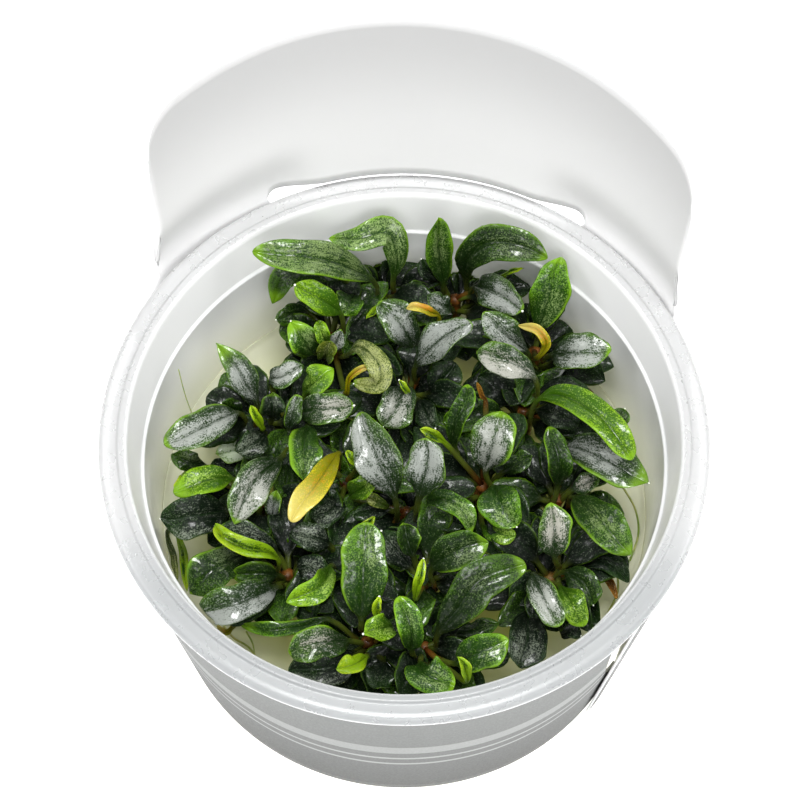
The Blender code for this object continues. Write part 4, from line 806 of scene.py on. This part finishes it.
def card_material(name, low_colour, high_colour, heights, roughness, stripes=()):
    """Coated card with faint fibres: its colour between two heights, which is painted shade, and plain
    printed stripes.
    """
    material, tree, shader = new_material(name)
    fibres = cloud(tree, 2600.0, 3.0)
    height = coordinate(tree, "Z")
    low, high = heights
    # Painted shade: darker low on the printed band, and darker high on the bare panel
    colour = colour_mix(tree, between(tree, height, low * MM, high * MM), low_colour, high_colour)
    colour = colour_mix(tree, between(tree, fibres, 0.35, 0.65, 0.0, 0.012), colour, CUT_EDGE)
    for low, high, strength in stripes:
        above = between(tree, height, (low - STRIPE_BLUR) * MM, (low + STRIPE_BLUR) * MM)
        below = between(tree, height, (high - STRIPE_BLUR) * MM, (high + STRIPE_BLUR) * MM, strength, 0.0)
        colour = colour_mix(tree, times(tree, above, below), colour, STRIPE)
    wire(tree, shader.inputs["Base Color"], colour)
    wire(tree, shader.inputs["Roughness"], between(tree, fibres, 0.3, 0.7, roughness, roughness + 0.1))
    bump(tree, shader, fibres, 0.02, 0.3)
    return material


def stem_material():
    """A creeping stem: brown to orange-red with pale scars."""
    material, tree, shader = new_material("creeping_stem")
    tone = patches(tree, 500.0, 3.0, 0.35, 0.65)
    colour = colour_mix(tree, tone, *STEM_TONES)
    scars = between(tree, cloud(tree, 260.0, 1.0, (0.3, 0.3, 3.0)), 0.55, 0.62)
    colour = colour_mix(tree, times(tree, scars, 0.5), colour, STEM_SCAR)
    wire(tree, shader.inputs["Base Color"], colour)
    shader.inputs["Specular IOR Level"].default_value = 0.25
    wire(tree, shader.inputs["Roughness"], between(tree, tone, 0.0, 1.0, 0.32, 0.48))
    bump(tree, shader, cloud(tree, 1100.0, 3.0), 0.15, 0.5)
    return material


def root_material():
    """A thin root, pale green to cream."""
    material, tree, shader = new_material("thin_roots")
    tone = patches(tree, 260.0, 3.0, 0.35, 0.65)
    wire(tree, shader.inputs["Base Color"], colour_mix(tree, tone, *ROOT_TONES))
    wire(tree, shader.inputs["Roughness"], between(tree, tone, 0.0, 1.0, 0.35, 0.5))
    return material


def floor_material():
    """A plain white studio floor."""
    material, tree, shader = new_material("studio_floor")
    tone = patches(tree, 4.0, 2.0, 0.3, 0.7)
    wire(tree, shader.inputs["Base Color"], colour_mix(tree, tone, *FLOOR_TONES))
    shader.inputs["Roughness"].default_value = 0.6
    shader.inputs["Emission Color"].default_value = (1.0, 1.0, 1.0, 1.0)
    shader.inputs["Emission Strength"].default_value = FLOOR_GLOW
    return material


# Cup, gel and card

def filleted(outline, cut=0.35, steps=4):
    """The outline with each inner corner replaced by a short curve."""
    points = [outline[0]]
    for before, corner, after in zip(outline, outline[1:], outline[2:]):
        before, corner, after = Vector(before), Vector(corner), Vector(after)
        reach = min(cut, 0.45 * (before - corner).length, 0.45 * (after - corner).length)
        start = corner + (before - corner).normalized() * reach
        end = corner + (after - corner).normalized() * reach
        for step in range(steps + 1):
            share = step / steps
            points.append(tuple(start.lerp(corner, share).lerp(corner.lerp(end, share), share)))
    points.append(outline[-1])
    return points


def turned(shape, outline):
    """Turn an outline that starts and ends on the axis into a closed body."""
    points = [(0.0, 0.0, outline[0][1])]
    for radius, height in outline[1:-1]:
        for step in range(TURNED_SEGMENTS):
            angle = math.tau * step / TURNED_SEGMENTS
            points.append((radius * math.cos(angle), radius * math.sin(angle), height))
    points.append((0.0, 0.0, outline[-1][1]))
    rings = len(outline) - 2
    faces = []
    for step in range(TURNED_SEGMENTS):
        following = (step + 1) % TURNED_SEGMENTS
        faces.append((0, 1 + step, 1 + following))
        for ring in range(rings - 1):
            here = 1 + ring * TURNED_SEGMENTS
            there = here + TURNED_SEGMENTS
            faces.append((here + step, there + step, there + following, here + following))
        last = 1 + (rings - 1) * TURNED_SEGMENTS
        faces.append((last + step, len(points) - 1, last + following))
    shape.add(points, faces)


def inner_wall(height):
    """The radius of the cup's inside at a height."""
    if height > LEDGE_HEIGHT:
        share = (height - LEDGE_HEIGHT) / (CUP_HEIGHT - LEDGE_HEIGHT)
        return LEDGE_OUTER_RADIUS + share * (MOUTH_RADIUS - LEDGE_OUTER_RADIUS)
    share = (height - FLOOR) / (LEDGE_HEIGHT - FLOOR)
    return BASE_RADIUS - WALL + share * (LEDGE_INNER_RADIUS - BASE_RADIUS + WALL)


def make_cup():
    """The cup: floor, drafted wall, a ledge inside, and a flange with a bead and a rolled lip."""
    top = CUP_HEIGHT
    outline = [
        (0.0, FLOOR), (inner_wall(FLOOR) - 2.2, FLOOR), (inner_wall(3.7), 3.7),
        (inner_wall(LEDGE_HEIGHT - 0.2), LEDGE_HEIGHT - 0.2),
        (LEDGE_OUTER_RADIUS - 0.15, LEDGE_HEIGHT + 0.1),
        (MOUTH_RADIUS, top - 0.7), (MOUTH_RADIUS + 0.35, top - 0.05), (MOUTH_RADIUS + 1.5, top),
        (MOUTH_RADIUS + 1.8, top - 0.42), (RIM_RADIUS - 1.3, top - 0.42), (RIM_RADIUS - 0.5, top - 0.62),
        (RIM_RADIUS, top - 1.3), (RIM_RADIUS, top - 2.1), (RIM_RADIUS - 0.5, top - 2.2),
        (RIM_RADIUS - 0.8, top - 1.6), (MOUTH_RADIUS + 1.4, top - 1.2), (MOUTH_RADIUS + 0.7, top - 2.2),
        (LEDGE_OUTER_RADIUS + WALL, LEDGE_HEIGHT - 0.4),
        (LEDGE_INNER_RADIUS + WALL - 0.2, LEDGE_HEIGHT - 1.4), (BASE_RADIUS + 0.1, 2.2),
        (BASE_RADIUS - 0.6, 0.6), (BASE_RADIUS - 2.2, 0.0), (0.0, 0.0),
    ]
    shape = Shape()
    turned(shape, filleted(outline))
    shape.piece("cup_shell", [plastic_material()], "plastic", "cup")


def make_gel():
    """The gel, a little clear of the wall, with a raised rim where it wets the wall."""
    edge = inner_wall(GEL_TOP) - 0.1
    bottom = FLOOR + GEL_GAP
    outline = [(0.0, GEL_TOP), (edge - 2.5, GEL_TOP), (edge - 0.9, GEL_TOP + 0.25),
               (edge, GEL_TOP + GEL_MENISCUS), (inner_wall(3.7) - GEL_GAP, bottom + 2.2),
               (inner_wall(FLOOR) - 2.2 - GEL_GAP, bottom), (0.0, bottom)]
    shape = Shape()
    turned(shape, filleted(outline))
    shape.piece("gel_block", [gel_material()], "gel", "nutrient_gel")


def panel_top(angle):
    """Height of the panel's top edge, angle measured from the panel's axis, corners rounded."""
    top = PANEL_TOP - PANEL_TOP_DROP * ((angle - PANEL_HIGH_SIDE) / PANEL_HALF) ** 2
    from_edge = math.radians(PANEL_HALF - abs(angle)) * RIM_RADIUS
    if from_edge >= PANEL_CORNER:
        return top
    return top - PANEL_CORNER + math.sqrt(max(0.0, PANEL_CORNER ** 2 - (PANEL_CORNER - from_edge) ** 2))


def card_top(azimuth):
    """Height of the card's upper edge: band, cut-away corner, sweep up to the panel, panel."""
    angle = abs(azimuth - PANEL_AXIS)
    if azimuth > NOTCH_START:
        share = (azimuth - NOTCH_START) / (360.0 + SEAM + SEAM_OVERLAP - NOTCH_START)
        return BAND_TOP - NOTCH_DEPTH * (1.0 - (1.0 - min(1.0, share)) ** 2.8)
    if angle >= FILLET_END:
        return BAND_TOP
    if angle > PANEL_HALF:
        share = (FILLET_END - angle) / (FILLET_END - PANEL_HALF)
        return BAND_TOP + (SLOT_TOP - BAND_TOP) * (1.0 - math.sqrt(max(0.0, 1.0 - share ** 2)))
    return panel_top(azimuth - PANEL_AXIS)


def slot_opening(azimuth):
    """Half the height of the slot in the card at an azimuth. Its ends are round."""
    half = 0.5 * (SLOT_TOP - BAND_TOP)
    from_end = math.radians(SLOT_HALF - abs(azimuth - PANEL_AXIS)) * RIM_RADIUS
    if from_end <= 0.0:
        return 0.0
    inset = max(0.0, half - from_end)
    return math.sqrt(half ** 2 - inset ** 2)


def card_radius(azimuth, height):
    """Outer radius of the sleeve: a cone that swells round the flange and lifts over its seam."""
    angle = azimuth - PANEL_AXIS
    radius = CONE_RADIUS_AT_BASE + CONE_FLARE * height
    beside = smooth(SLOT_HALF - 12.0, SLOT_HALF, abs(angle))
    beside *= 1.0 - smooth(FILLET_END - 2.0, FILLET_END + 8.0, abs(angle))
    near_rim = 1.0 - smooth(0.0, BULGE_REACH, abs(height - CUP_HEIGHT))
    swell = BULGE + BULGE_LEFT_EXTRA * smooth(SLOT_HALF, PANEL_HALF, angle)
    radius += swell * beside * near_rim
    return radius + SEAM_LIFT * (1.0 - smooth(SEAM, SEAM + 24.0, azimuth))


def card_point(azimuth, height):
    """A point on the sleeve's outer face. The panel narrows a little towards its top."""
    angle = azimuth - PANEL_AXIS
    narrowed = 1.0 - PANEL_TAPER * smooth(SLOT_TOP, PANEL_TOP, height)
    turned_to = math.radians(PANEL_AXIS + angle * narrowed) if height > SLOT_TOP else math.radians(azimuth)
    radius = card_radius(azimuth, height)
    return (radius * math.cos(turned_to), radius * math.sin(turned_to), height)


def card_columns():
    """Azimuths of the sleeve's columns, close together where its outline turns."""
    columns = []
    azimuth = SEAM
    end = 360.0 + SEAM + SEAM_OVERLAP
    while azimuth < end:
        columns.append(azimuth)
        angle = abs(azimuth - PANEL_AXIS)
        near_edge = min(abs(angle - PANEL_HALF), abs(angle - SLOT_HALF))
        azimuth += 0.35 if near_edge < 9.0 or azimuth > NOTCH_START - 1.0 else 1.5
    edges = [PANEL_AXIS - PANEL_HALF, PANEL_AXIS + PANEL_HALF]
    columns += edges + [edges[0] - 0.01, edges[1] + 0.01, end]
    return sorted(columns)


def make_sleeve():
    """The card sleeve: an open sheet wrapped on the cone, given the card's thickness."""
    lower_rows, upper_rows = SLEEVE_ROWS
    middle = 0.5 * (BAND_TOP + SLOT_TOP)
    points = []
    columns = card_columns()
    for azimuth in columns:
        top = card_top(azimuth)
        opening = slot_opening(azimuth)
        lower_end = min(top, middle - opening)
        upper_start = min(top, middle + opening)
        for row in range(lower_rows + 1):
            height = SLEEVE_BOTTOM + (lower_end - SLEEVE_BOTTOM) * row / lower_rows
            points.append(card_point(azimuth, height))
        for row in range(upper_rows + 1):
            points.append(card_point(azimuth, upper_start + (top - upper_start) * row / upper_rows))
    rows = lower_rows + upper_rows + 2
    faces = []
    for column in range(len(columns) - 1):
        for row in range(rows - 1):
            if row == lower_rows:
                continue
            here = column * rows + row
            faces.append((here, here + rows, here + rows + 1, here + 1))
    shape = Shape()
    shape.add(points, faces)
    grey = card_material("printed_card", PRINT_LOW_PAINTED_SHADE, PRINT_HIGH, (SLEEVE_BOTTOM, BAND_TOP), 0.42, STRIPES)
    # The bare panel is painted darker towards its top: painted shade
    bare = card_material("bare_card", PANEL_LOW, PANEL_HIGH_PAINTED_SHADE, (SLOT_TOP, PANEL_TOP), 0.5)
    edge = card_material("cut_card", CUT_EDGE, CUT_EDGE, (SLEEVE_BOTTOM, PANEL_TOP), 0.6)
    sleeve = shape.piece("card_sleeve", [grey, bare, edge], "card", "sleeve")
    work = bmesh.new()
    work.from_mesh(sleeve.data)
    bmesh.ops.remove_doubles(work, verts=work.verts, dist=WELD)
    bmesh.ops.dissolve_degenerate(work, edges=work.edges, dist=WELD)
    work.to_mesh(sleeve.data)
    work.free()
    thicken = sleeve.modifiers.new("Card", "SOLIDIFY")
    thicken.thickness = CARD * MM
    thicken.offset = -1.0
    thicken.material_offset = 1
    thicken.material_offset_rim = 2


# Plants

def seen(x, y, z, lift=0.0):
    """The place of a plant point, raised by lift along its line of sight."""
    crossing = Vector((x, y, SIGHT_LEVEL))
    share = (EYE.z - z - lift) / (EYE.z - SIGHT_LEVEL)
    return EYE + (crossing - EYE) * share


def kept_inside(point):
    """The point, moved in from the cup's wall and up from the gel where it would touch them."""
    height = max(point.z, GEL_TOP + GEL_MENISCUS + 0.2)
    limit = inner_wall(height) - WALL_CLEARANCE
    radius = math.hypot(point.x, point.y)
    squeeze = min(1.0, limit / radius) if radius > 0.0 else 1.0
    return Vector((point.x * squeeze, point.y * squeeze, height))


def stem_ends(top):
    """Foot and top of a stem. The foot stands in the gel, a little towards the cup's middle."""
    upper = seen(*top)
    return Vector((upper.x * STEM_LEAN, upper.y * STEM_LEAN, GEL_TOP - SOCKET_DEPTH)), upper


def spline(path, place):
    """A point on the smooth curve through path: place 0 is its first point, 1 the second."""
    first = min(int(place), len(path) - 2)
    share = place - first
    before = path[first - 1] if first > 0 else 2.0 * path[0] - path[1]
    after = path[first + 2] if first + 2 < len(path) else 2.0 * path[-1] - path[-2]
    start, end = path[first], path[first + 1]
    bend = (start * 2.0 - before - end) * (share * (1.0 - share) ** 2)
    bend += (end * 2.0 - start - after) * (share ** 2 * (1.0 - share))
    return start + (end - start) * share + bend * 0.5


def leaf_path(stem_top, leaf, drop, lift):
    """Midrib from the stem to the tip: the stalk's foot, drop below the top, then the leaf."""
    kind, points = leaf[0], leaf[5]
    foot, upper = stem_ends(stem_top)
    joint = upper - (upper - foot).normalized() * (JOINT_DEPTH + drop)
    base = seen(*points[0], lift)
    outward = Vector((base.x - joint.x, base.y - joint.y, 0.0)).normalized()
    if kind == "own":
        joint = joint + outward * (STEM_RADIUS + CLEARANCE + 0.5 * PETIOLE)
    return [joint] + [seen(*point, lift) for point in points]


def half_width(width, place, pointed):
    """Half the leaf's width: the stalk up to place 1, then a long blade, broadest past its middle."""
    if place <= 1.0:
        return 0.5 * PETIOLE
    share = place - 1.0
    if share < BROADEST:
        blade = 1.0 - (1.0 - share / BROADEST) ** 1.9
    else:
        blade = max(0.0, 1.0 - ((share - BROADEST) / (1.0 - BROADEST)) ** 2.4) ** pointed
    return max(0.5 * PETIOLE * (2.0 - place), 0.5 * width * blade)


def on_leaf(path, place):
    """A point of the midrib: place 0 is the stalk's foot, 1 the blade's base and 2 its tip."""
    if place <= 1.0:
        return spline(path, place)
    return spline(path, 1.0 + (place - 1.0) * (len(path) - 2))


def leaf_direction(path, place):
    """The direction in which the midrib runs at a place."""
    ahead = on_leaf(path, min(2.0, place + 0.03))
    behind = on_leaf(path, max(0.0, place - 0.03))
    return (ahead - behind).normalized()


def leaf_frame(path, place, roll):
    """Centre, sideways and upward directions of the blade at a place between 0 and 2."""
    tangent = leaf_direction(path, place)
    blade = leaf_direction(path, max(place, STALK_FACES))
    sideways = blade.cross(FACING)
    sideways = (sideways - tangent * sideways.dot(tangent)).normalized()
    sideways = Matrix.Rotation(math.radians(roll), 3, tangent) @ sideways
    return on_leaf(path, place), sideways, sideways.cross(tangent)


def solid_box(stem_top, leaf, drop, lift):
    """Lowest and highest corner of the plain solid that a leaf has in the frame, in millimetres."""
    path = leaf_path(stem_top, leaf, drop, lift)
    corners = [kept_inside(path[-1])]
    for place in OWN_STATIONS:
        centre, sideways, upward = leaf_frame(path, place, leaf[4])
        blade = max(0.0, math.sin(math.pi * max(0.0, place - 1.0) ** 0.8)) ** 0.65
        half = max(0.5 * PETIOLE, 0.5 * leaf[2] * blade)
        raised = leaf[3] * half if place > 1.0 else 0.0
        thick = 0.5 * (PETIOLE if place < 1.0 else SOLID_THICKNESS)
        edge = sideways * half
        corners += [centre - edge + upward * raised, centre + edge + upward * raised]
        corners += [centre + upward * thick, centre - upward * thick]
    corners = [kept_inside(corner) for corner in corners]
    low = Vector([min(corner[axis] for corner in corners) for axis in range(3)])
    high = Vector([max(corner[axis] for corner in corners) for axis in range(3)])
    return low, high


def settled(stem_top, leaf, node):
    """The drop and lift that put a separate leaf where its solid is in the frame."""
    low, high = (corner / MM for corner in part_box(node))
    best = None
    for lift_step in range(LIFT_STEPS):
        for drop_step in range(JOINT_STEPS):
            drop, lift = JOINT_STEP * drop_step, LIFT_STEP * lift_step
            solid_low, solid_high = solid_box(stem_top, leaf, drop, lift)
            miss = (solid_low - low).length + (solid_high - high).length
            if best is None or miss < best[0]:
                best = (miss, drop, lift)
    return best[1], best[2]


def leaf_rows(blade_rows):
    """Places of a leaf's cross-sections, closer together towards its blunt tip."""
    stalk = [row / STALK_ROWS for row in range(STALK_ROWS)]
    blade = [2.0 - 0.992 * (1.0 - row / blade_rows) ** 1.45 for row in range(blade_rows)]
    return stalk + blade


def silver_and_sheen_at(across, place, mark, seed):
    """How silvery a point of the blade is, silver speckles and painted sheen together: the marked area,
    with an uneven border.
    """
    middle, spread, start, finish = mark[:4]
    if spread <= 0.0:
        return 0.0
    along = place - 1.0
    uneven = 0.20 * noise.noise(Vector((5.0 * place, 2.0 * across, 7.3 * seed)))
    inside = 1.0 - smooth(spread - 0.35, spread + 0.45, abs(across - middle) + uneven)
    inside *= smooth(start - 0.18, start + 0.25, along + uneven)
    inside *= 1.0 - smooth(finish - 0.10, finish + 0.10, along)
    return max(inside, SILVER_AND_SHEEN_AROUND * smooth(0.1, 0.4, along) * (1.0 - smooth(0.9, 1.0, along)))


def rim_at(across, place, breadth, tip):
    """How light the rim is at a point: a thin line all round, broader on one side and at the tip."""
    side = math.copysign(1.0, breadth)
    line = 0.50 * smooth(0.95, 1.0, abs(across))
    broad = smooth(1.0 - 0.65 * abs(breadth), 1.0, side * across) if breadth else 0.0
    end = smooth(2.0 - tip, 2.0 - 0.3 * tip, place) if tip else 0.0
    return smooth(1.02, 1.2, place) * max(line, broad, end)


def random_mark(draw):
    """A mark for a leaf that has none of its own."""
    middle, spread = draw.uniform(-0.4, 0.4), draw.uniform(0.2, 0.6)
    start, finish = draw.uniform(0.3, 0.5), draw.uniform(0.75, 0.95)
    return (middle, spread, start, finish, draw.uniform(-0.3, 0.3), draw.uniform(0.0, 0.12))


def add_bead(shape, tip, slot, size):
    """A drop that hangs at a leaf's tip, painted white as its glint."""
    line = [tip + Vector((0.0, 0.0, size * height)) for height in (-0.85, -0.55, 0.0, 0.55, 0.85)]
    radii = [0.35 * size, 0.84 * size, size, 0.84 * size, 0.35 * size]
    add_tube(shape, line, radii, slot, place=2.0, rim=2.0)


def leaf_faces(row_count, ring_size):
    """Faces of a leaf: its cut foot, strips from ring to ring, and a fan to the point at its tip."""
    faces = [tuple(range(ring_size))]
    for row in range(row_count - 1):
        for corner in range(ring_size):
            here = row * ring_size + corner
            following = row * ring_size + (corner + 1) % ring_size
            faces.append((here, here + ring_size, following + ring_size, following))
    last = (row_count - 1) * ring_size
    for corner in range(ring_size):
        faces.append((last + corner, last + ring_size, last + (corner + 1) % ring_size))
    return faces


def add_leaf(shape, path, leaf, mark, slot, draw, ring_places=ACROSS, blade_rows=BLADE_ROWS,
             bead_share=BEAD_SHARE):
    """A leaf as a closed thin body: curved halves, a channel along the midrib, a wavy edge."""
    _, _, width, fold, roll, _ = leaf
    seed = draw.random()
    phase, second = draw.uniform(0.0, math.tau), draw.uniform(0.0, math.tau)
    ruffle = draw.uniform(0.20, 0.75) * min(1.0, width / 5.0)
    twist = draw.uniform(-24.0, 24.0)
    puff = draw.uniform(0.03, 0.13)
    hook = draw.uniform(-0.09, 0.09) * width
    tone = draw.uniform(-0.22, 0.25)
    blunt = draw.uniform(0.50, 0.86)
    pointed = mark[6] if len(mark) > 6 else blunt
    has_bead = draw.random() < bead_share
    points, across, places, under, silver, rims = [], [], [], [], [], []
    rows = leaf_rows(blade_rows)
    for place in rows:
        blade = smooth(1.0, 1.22, place)
        centre, sideways, upward = leaf_frame(path, place, roll + twist * blade * (place - 1.0))
        centre = centre + sideways * hook * smooth(1.75, 2.0, place) ** 2
        plain_half = half_width(width, place, pointed)
        thick = 0.5 * (PETIOLE * 0.85 + (LEAF_THICKNESS - PETIOLE * 0.85) * blade)
        for face in (1.0, -1.0):
            ring = ring_places if face > 0.0 else ring_places[-2:0:-1]
            for v in ring:
                out = abs(v)
                side = 1.0 if v > 0.0 else 1.7
                wave = 0.055 * math.sin(9.0 * place + side * second)
                wave += 0.035 * math.sin(19.0 * place + side * phase)
                half = plain_half * (1.0 + wave * blade * out)
                raised = (fold + EXTRA_FOLD) * half * out + puff * half * math.sin(math.pi * out ** 0.8)
                raised -= 0.18 * math.exp(-(v / 0.12) ** 2)
                raised += ruffle * v * v * math.sin(11.0 * place + side * phase)
                flat = 1.0 - 0.75 * v * v if out < 1.0 else 0.0
                shell = face * thick * (blade * flat + (1.0 - blade) * math.sqrt(max(0.0, 1.0 - v * v)))
                point = centre + sideways * (half * v) + upward * (raised * blade + shell)
                points.append(kept_inside(point))
                across.append(v)
                places.append(place)
                under.append(0.0 if face > 0.0 or blade < 0.5 else 1.0)
                silver.append(silver_and_sheen_at(v, place, mark, seed))
                rims.append(rim_at(v, place, mark[4], mark[5]))
    tip = kept_inside(path[-1] + sideways * hook)
    points.append(tip)
    for values, value in ((across, 0.0), (places, 2.0), (under, 0.0), (silver, 0.0), (rims, 1.0)):
        values.append(value)
    faces = leaf_faces(len(rows), 2 * len(ring_places) - 2)
    shape.add(points, faces, slot, place=places, across=across, under=under, silver=silver, tone=tone,
              rim=rims)
    if has_bead:
        add_bead(shape, tip, slot, draw.uniform(*BEAD_SIZE))


def add_tube(shape, line, radii, slot, sides=8, **values):
    """A round tube along a line, closed at both ends."""
    points = []
    for i, centre in enumerate(line):
        ahead = line[min(i + 1, len(line) - 1)]
        behind = line[max(i - 1, 0)]
        tangent = (ahead - behind).normalized()
        if i == 0:
            sideways = tangent.orthogonal().normalized()
        else:
            sideways = (sideways - tangent * sideways.dot(tangent)).normalized()
        upward = tangent.cross(sideways)
        for step in range(sides):
            angle = math.tau * step / sides
            points.append(centre + (sideways * math.cos(angle) + upward * math.sin(angle)) * radii[i])
    faces = [tuple(range(sides - 1, -1, -1)), tuple(len(points) - sides + i for i in range(sides))]
    for ring in range(len(line) - 1):
        for step in range(sides):
            here = ring * sides + step
            following = ring * sides + (step + 1) % sides
            faces.append((here, following, following + sides, here + sides))
    shape.add(points, faces, slot, **values)


def add_stem(shape, top):
    """The creeping stem: a knotty tube with a ring at each old leaf's place."""
    foot, upper = stem_ends(top)
    line, radii = [], []
    for i in range(STEM_STEPS + 1):
        share = i / STEM_STEPS
        bend = Vector((math.sin(5.0 * share + top[0]), math.cos(4.0 * share + top[1]), 0.0)) * 0.25
        line.append(foot.lerp(upper, share) + bend * math.sin(math.pi * share))
        knot = 0.14 * math.exp(-((i % 5 - 2) / 0.9) ** 2)
        radii.append(STEM_RADIUS * (1.0 - 0.2 * share) - 0.1 + knot)
    radii[-1] = STEM_RADIUS * 0.45 - 0.1
    add_tube(shape, line, radii, 0, sides=14)


def filler(top, turn, draw):
    """A dark leaf low down in the plantlet, pointing to one side, in true coordinates; its near-black
    colour is partly painted shade.
    """
    foot, upper = stem_ends(top)
    start = foot.lerp(upper, draw.uniform(0.45, 0.95))
    length = draw.uniform(*FILLER_LENGTH)
    outward = Vector((math.cos(turn), math.sin(turn), 0.0))
    rise = draw.uniform(0.05, 0.75)
    middle = start + outward * 0.55 * length + Vector((0.0, 0.0, rise * length * 0.75))
    tip = start + outward * length + Vector((0.0, 0.0, rise * length * 0.8))
    base = start + outward * 0.22 * length + Vector((0.0, 0.0, rise * length * 0.35))
    width = draw.uniform(*FILLER_WIDTH)
    look = draw.choice(("dark", "dark", "dark", "deep"))
    path = [kept_inside(point) for point in (start, base, middle, tip)]
    return path, ("low", look, width, draw.uniform(0.1, 0.3), draw.uniform(-12.0, 12.0), None)


def make_plantlet(number, plantlet, stem, blades):
    """One plantlet: its separate leaves, and its stem with all that grows together with it."""
    name, top, leaves = plantlet
    slots = {look: order + 1 for order, look in enumerate(blades)}
    body = Shape()
    draw = random.Random(number)
    add_stem(body, top)
    own_count = 0
    for order, (leaf, mark) in enumerate(zip(leaves, MARKS[name], strict=True)):
        look = leaf[1]
        if leaf[0] == "own":
            own_count += 1
            node = f"{name}_leaf_{own_count}"
            drop, lift = settled(top, leaf, node)
            blade = Shape()
            add_leaf(blade, leaf_path(top, leaf, drop, lift), leaf, mark, 0, draw)
            blade.piece(f"{node}_blade", [blades[look]], f"leaf_{look}", node)
        else:
            path = leaf_path(top, leaf, JOINT_STEP * (order % JOINT_STEPS), 0.0)
            add_leaf(body, path, leaf, mark, slots[look], draw)
    for order, young in enumerate(YOUNG.get(name, [])):
        leaf = ("low", *young)
        path = leaf_path(top, leaf, JOINT_STEP * order, 0.0)
        add_leaf(body, path, leaf, random_mark(draw), slots[leaf[1]], draw)
    for order in range(FILLERS):
        path, leaf = filler(top, GOLDEN_TURN * (order + number), draw)
        add_leaf(body, path, leaf, FILLER_MARK, slots[leaf[1]], draw,
                 ACROSS_PLAIN, BLADE_ROWS_PLAIN, bead_share=0.0)
    body.piece(f"{name}_stem_leaves", [stem, *blades.values()], "stem", f"{name}_stem")


def gel_root(foot, draw):
    """Points of a root that leaves a stem's foot, wanders through the gel and sinks."""
    turn = draw.uniform(0.0, math.tau)
    length = draw.uniform(*ROOT_LENGTH)
    fall = draw.uniform(0.15, 0.9)
    point = foot + Vector((0.0, 0.0, 2.5))
    line = []
    for _ in range(ROOT_STEPS + 1):
        turn += draw.uniform(-0.22, 0.22)
        step = Vector((math.cos(turn), math.sin(turn), -fall)).normalized()
        point = point + step * length / ROOT_STEPS
        limit = inner_wall(max(point.z, FLOOR)) - 1.2
        radius = math.hypot(point.x, point.y)
        if radius > limit:
            point.x *= limit / radius
            point.y *= limit / radius
        point.z = max(point.z, FLOOR + 1.0)
        line.append(point)
    return line


def make_roots():
    """Thin roots in the gel, and the few that show above it."""
    draw = random.Random(77)
    shape = Shape()
    for _, top, _ in PLANTLETS:
        foot, _ = stem_ends(top)
        for _ in range(ROOTS_PER_STEM):
            line = gel_root(foot, draw)
            thick = draw.uniform(*ROOT_RADIUS)
            radii = [thick * (1.0 - 0.6 * i / ROOT_STEPS) for i in range(ROOT_STEPS + 1)]
            add_tube(shape, line, radii, 0, sides=6)
    for ends, thick in AIR_ROOTS:
        points = [seen(*point) for point in ends]
        line = [spline(points, (len(points) - 1) * i / AIR_ROOT_STEPS) for i in range(AIR_ROOT_STEPS + 1)]
        add_tube(shape, line, [thick] * len(line), 0, sides=6)
    shape.piece("roots", [root_material()], "stem")


# Studio

def make_floor():
    """A wide pale floor. It isn't part of the object."""
    mesh = bpy.data.meshes.new("studio_floor")
    corners = [(FLOOR_REACH * x, FLOOR_REACH * y, 0.0) for x, y in ((-1, -1), (1, -1), (1, 1), (-1, 1))]
    mesh.from_pydata(corners, [], [(0, 1, 2, 3)])
    mesh.materials.append(floor_material())
    floor = bpy.data.objects.new("studio_floor", mesh)
    floor.location.z = FLOOR_HEIGHT
    bpy.context.scene.collection.objects.link(floor)


def make_softbox(name, place, size, power):
    """A softbox that shines on the cup."""
    light = bpy.data.lights.new(name, "AREA")
    light.shape = "RECTANGLE"
    light.size, light.size_y = size
    light.energy = power
    box = bpy.data.objects.new(name, light)
    box.location = place
    box.rotation_euler = (AIM - Vector(place)).to_track_quat("-Z", "Y").to_euler()
    bpy.context.scene.collection.objects.link(box)


def make_studio():
    """White surroundings, one softbox overhead and softer ones beside it."""
    scene = bpy.context.scene
    world = bpy.data.worlds.new("studio")
    world.use_nodes = True
    background = world.node_tree.nodes["Background"]
    background.inputs["Color"].default_value = (1.0, 1.0, 1.0, 1.0)
    background.inputs["Strength"].default_value = SURROUNDINGS
    scene.world = world
    make_floor()
    for row in SOFTBOXES:
        make_softbox(*row)
    scene.view_settings.view_transform = "Standard"


def make_camera():
    """The camera at the photograph's viewing angle."""
    data = bpy.data.cameras.new("camera")
    data.lens = LENS
    data.sensor_width = SENSOR
    data.clip_start = 0.01
    data.clip_end = 10.0
    camera = bpy.data.objects.new("camera", data)
    camera.location = EYE * MM
    camera.rotation_euler = (math.radians(CAMERA_TILT), 0.0, 0.0)
    bpy.context.scene.collection.objects.link(camera)
    bpy.context.scene.camera = camera


make_cup()
make_gel()
make_sleeve()
shared_stem = stem_material()
leaf_materials = {look: leaf_material(look) for look in LOOKS}
for plantlet_number, plantlet_row in enumerate(PLANTLETS):
    make_plantlet(plantlet_number, plantlet_row, shared_stem, leaf_materials)
make_roots()
make_studio()
make_camera()
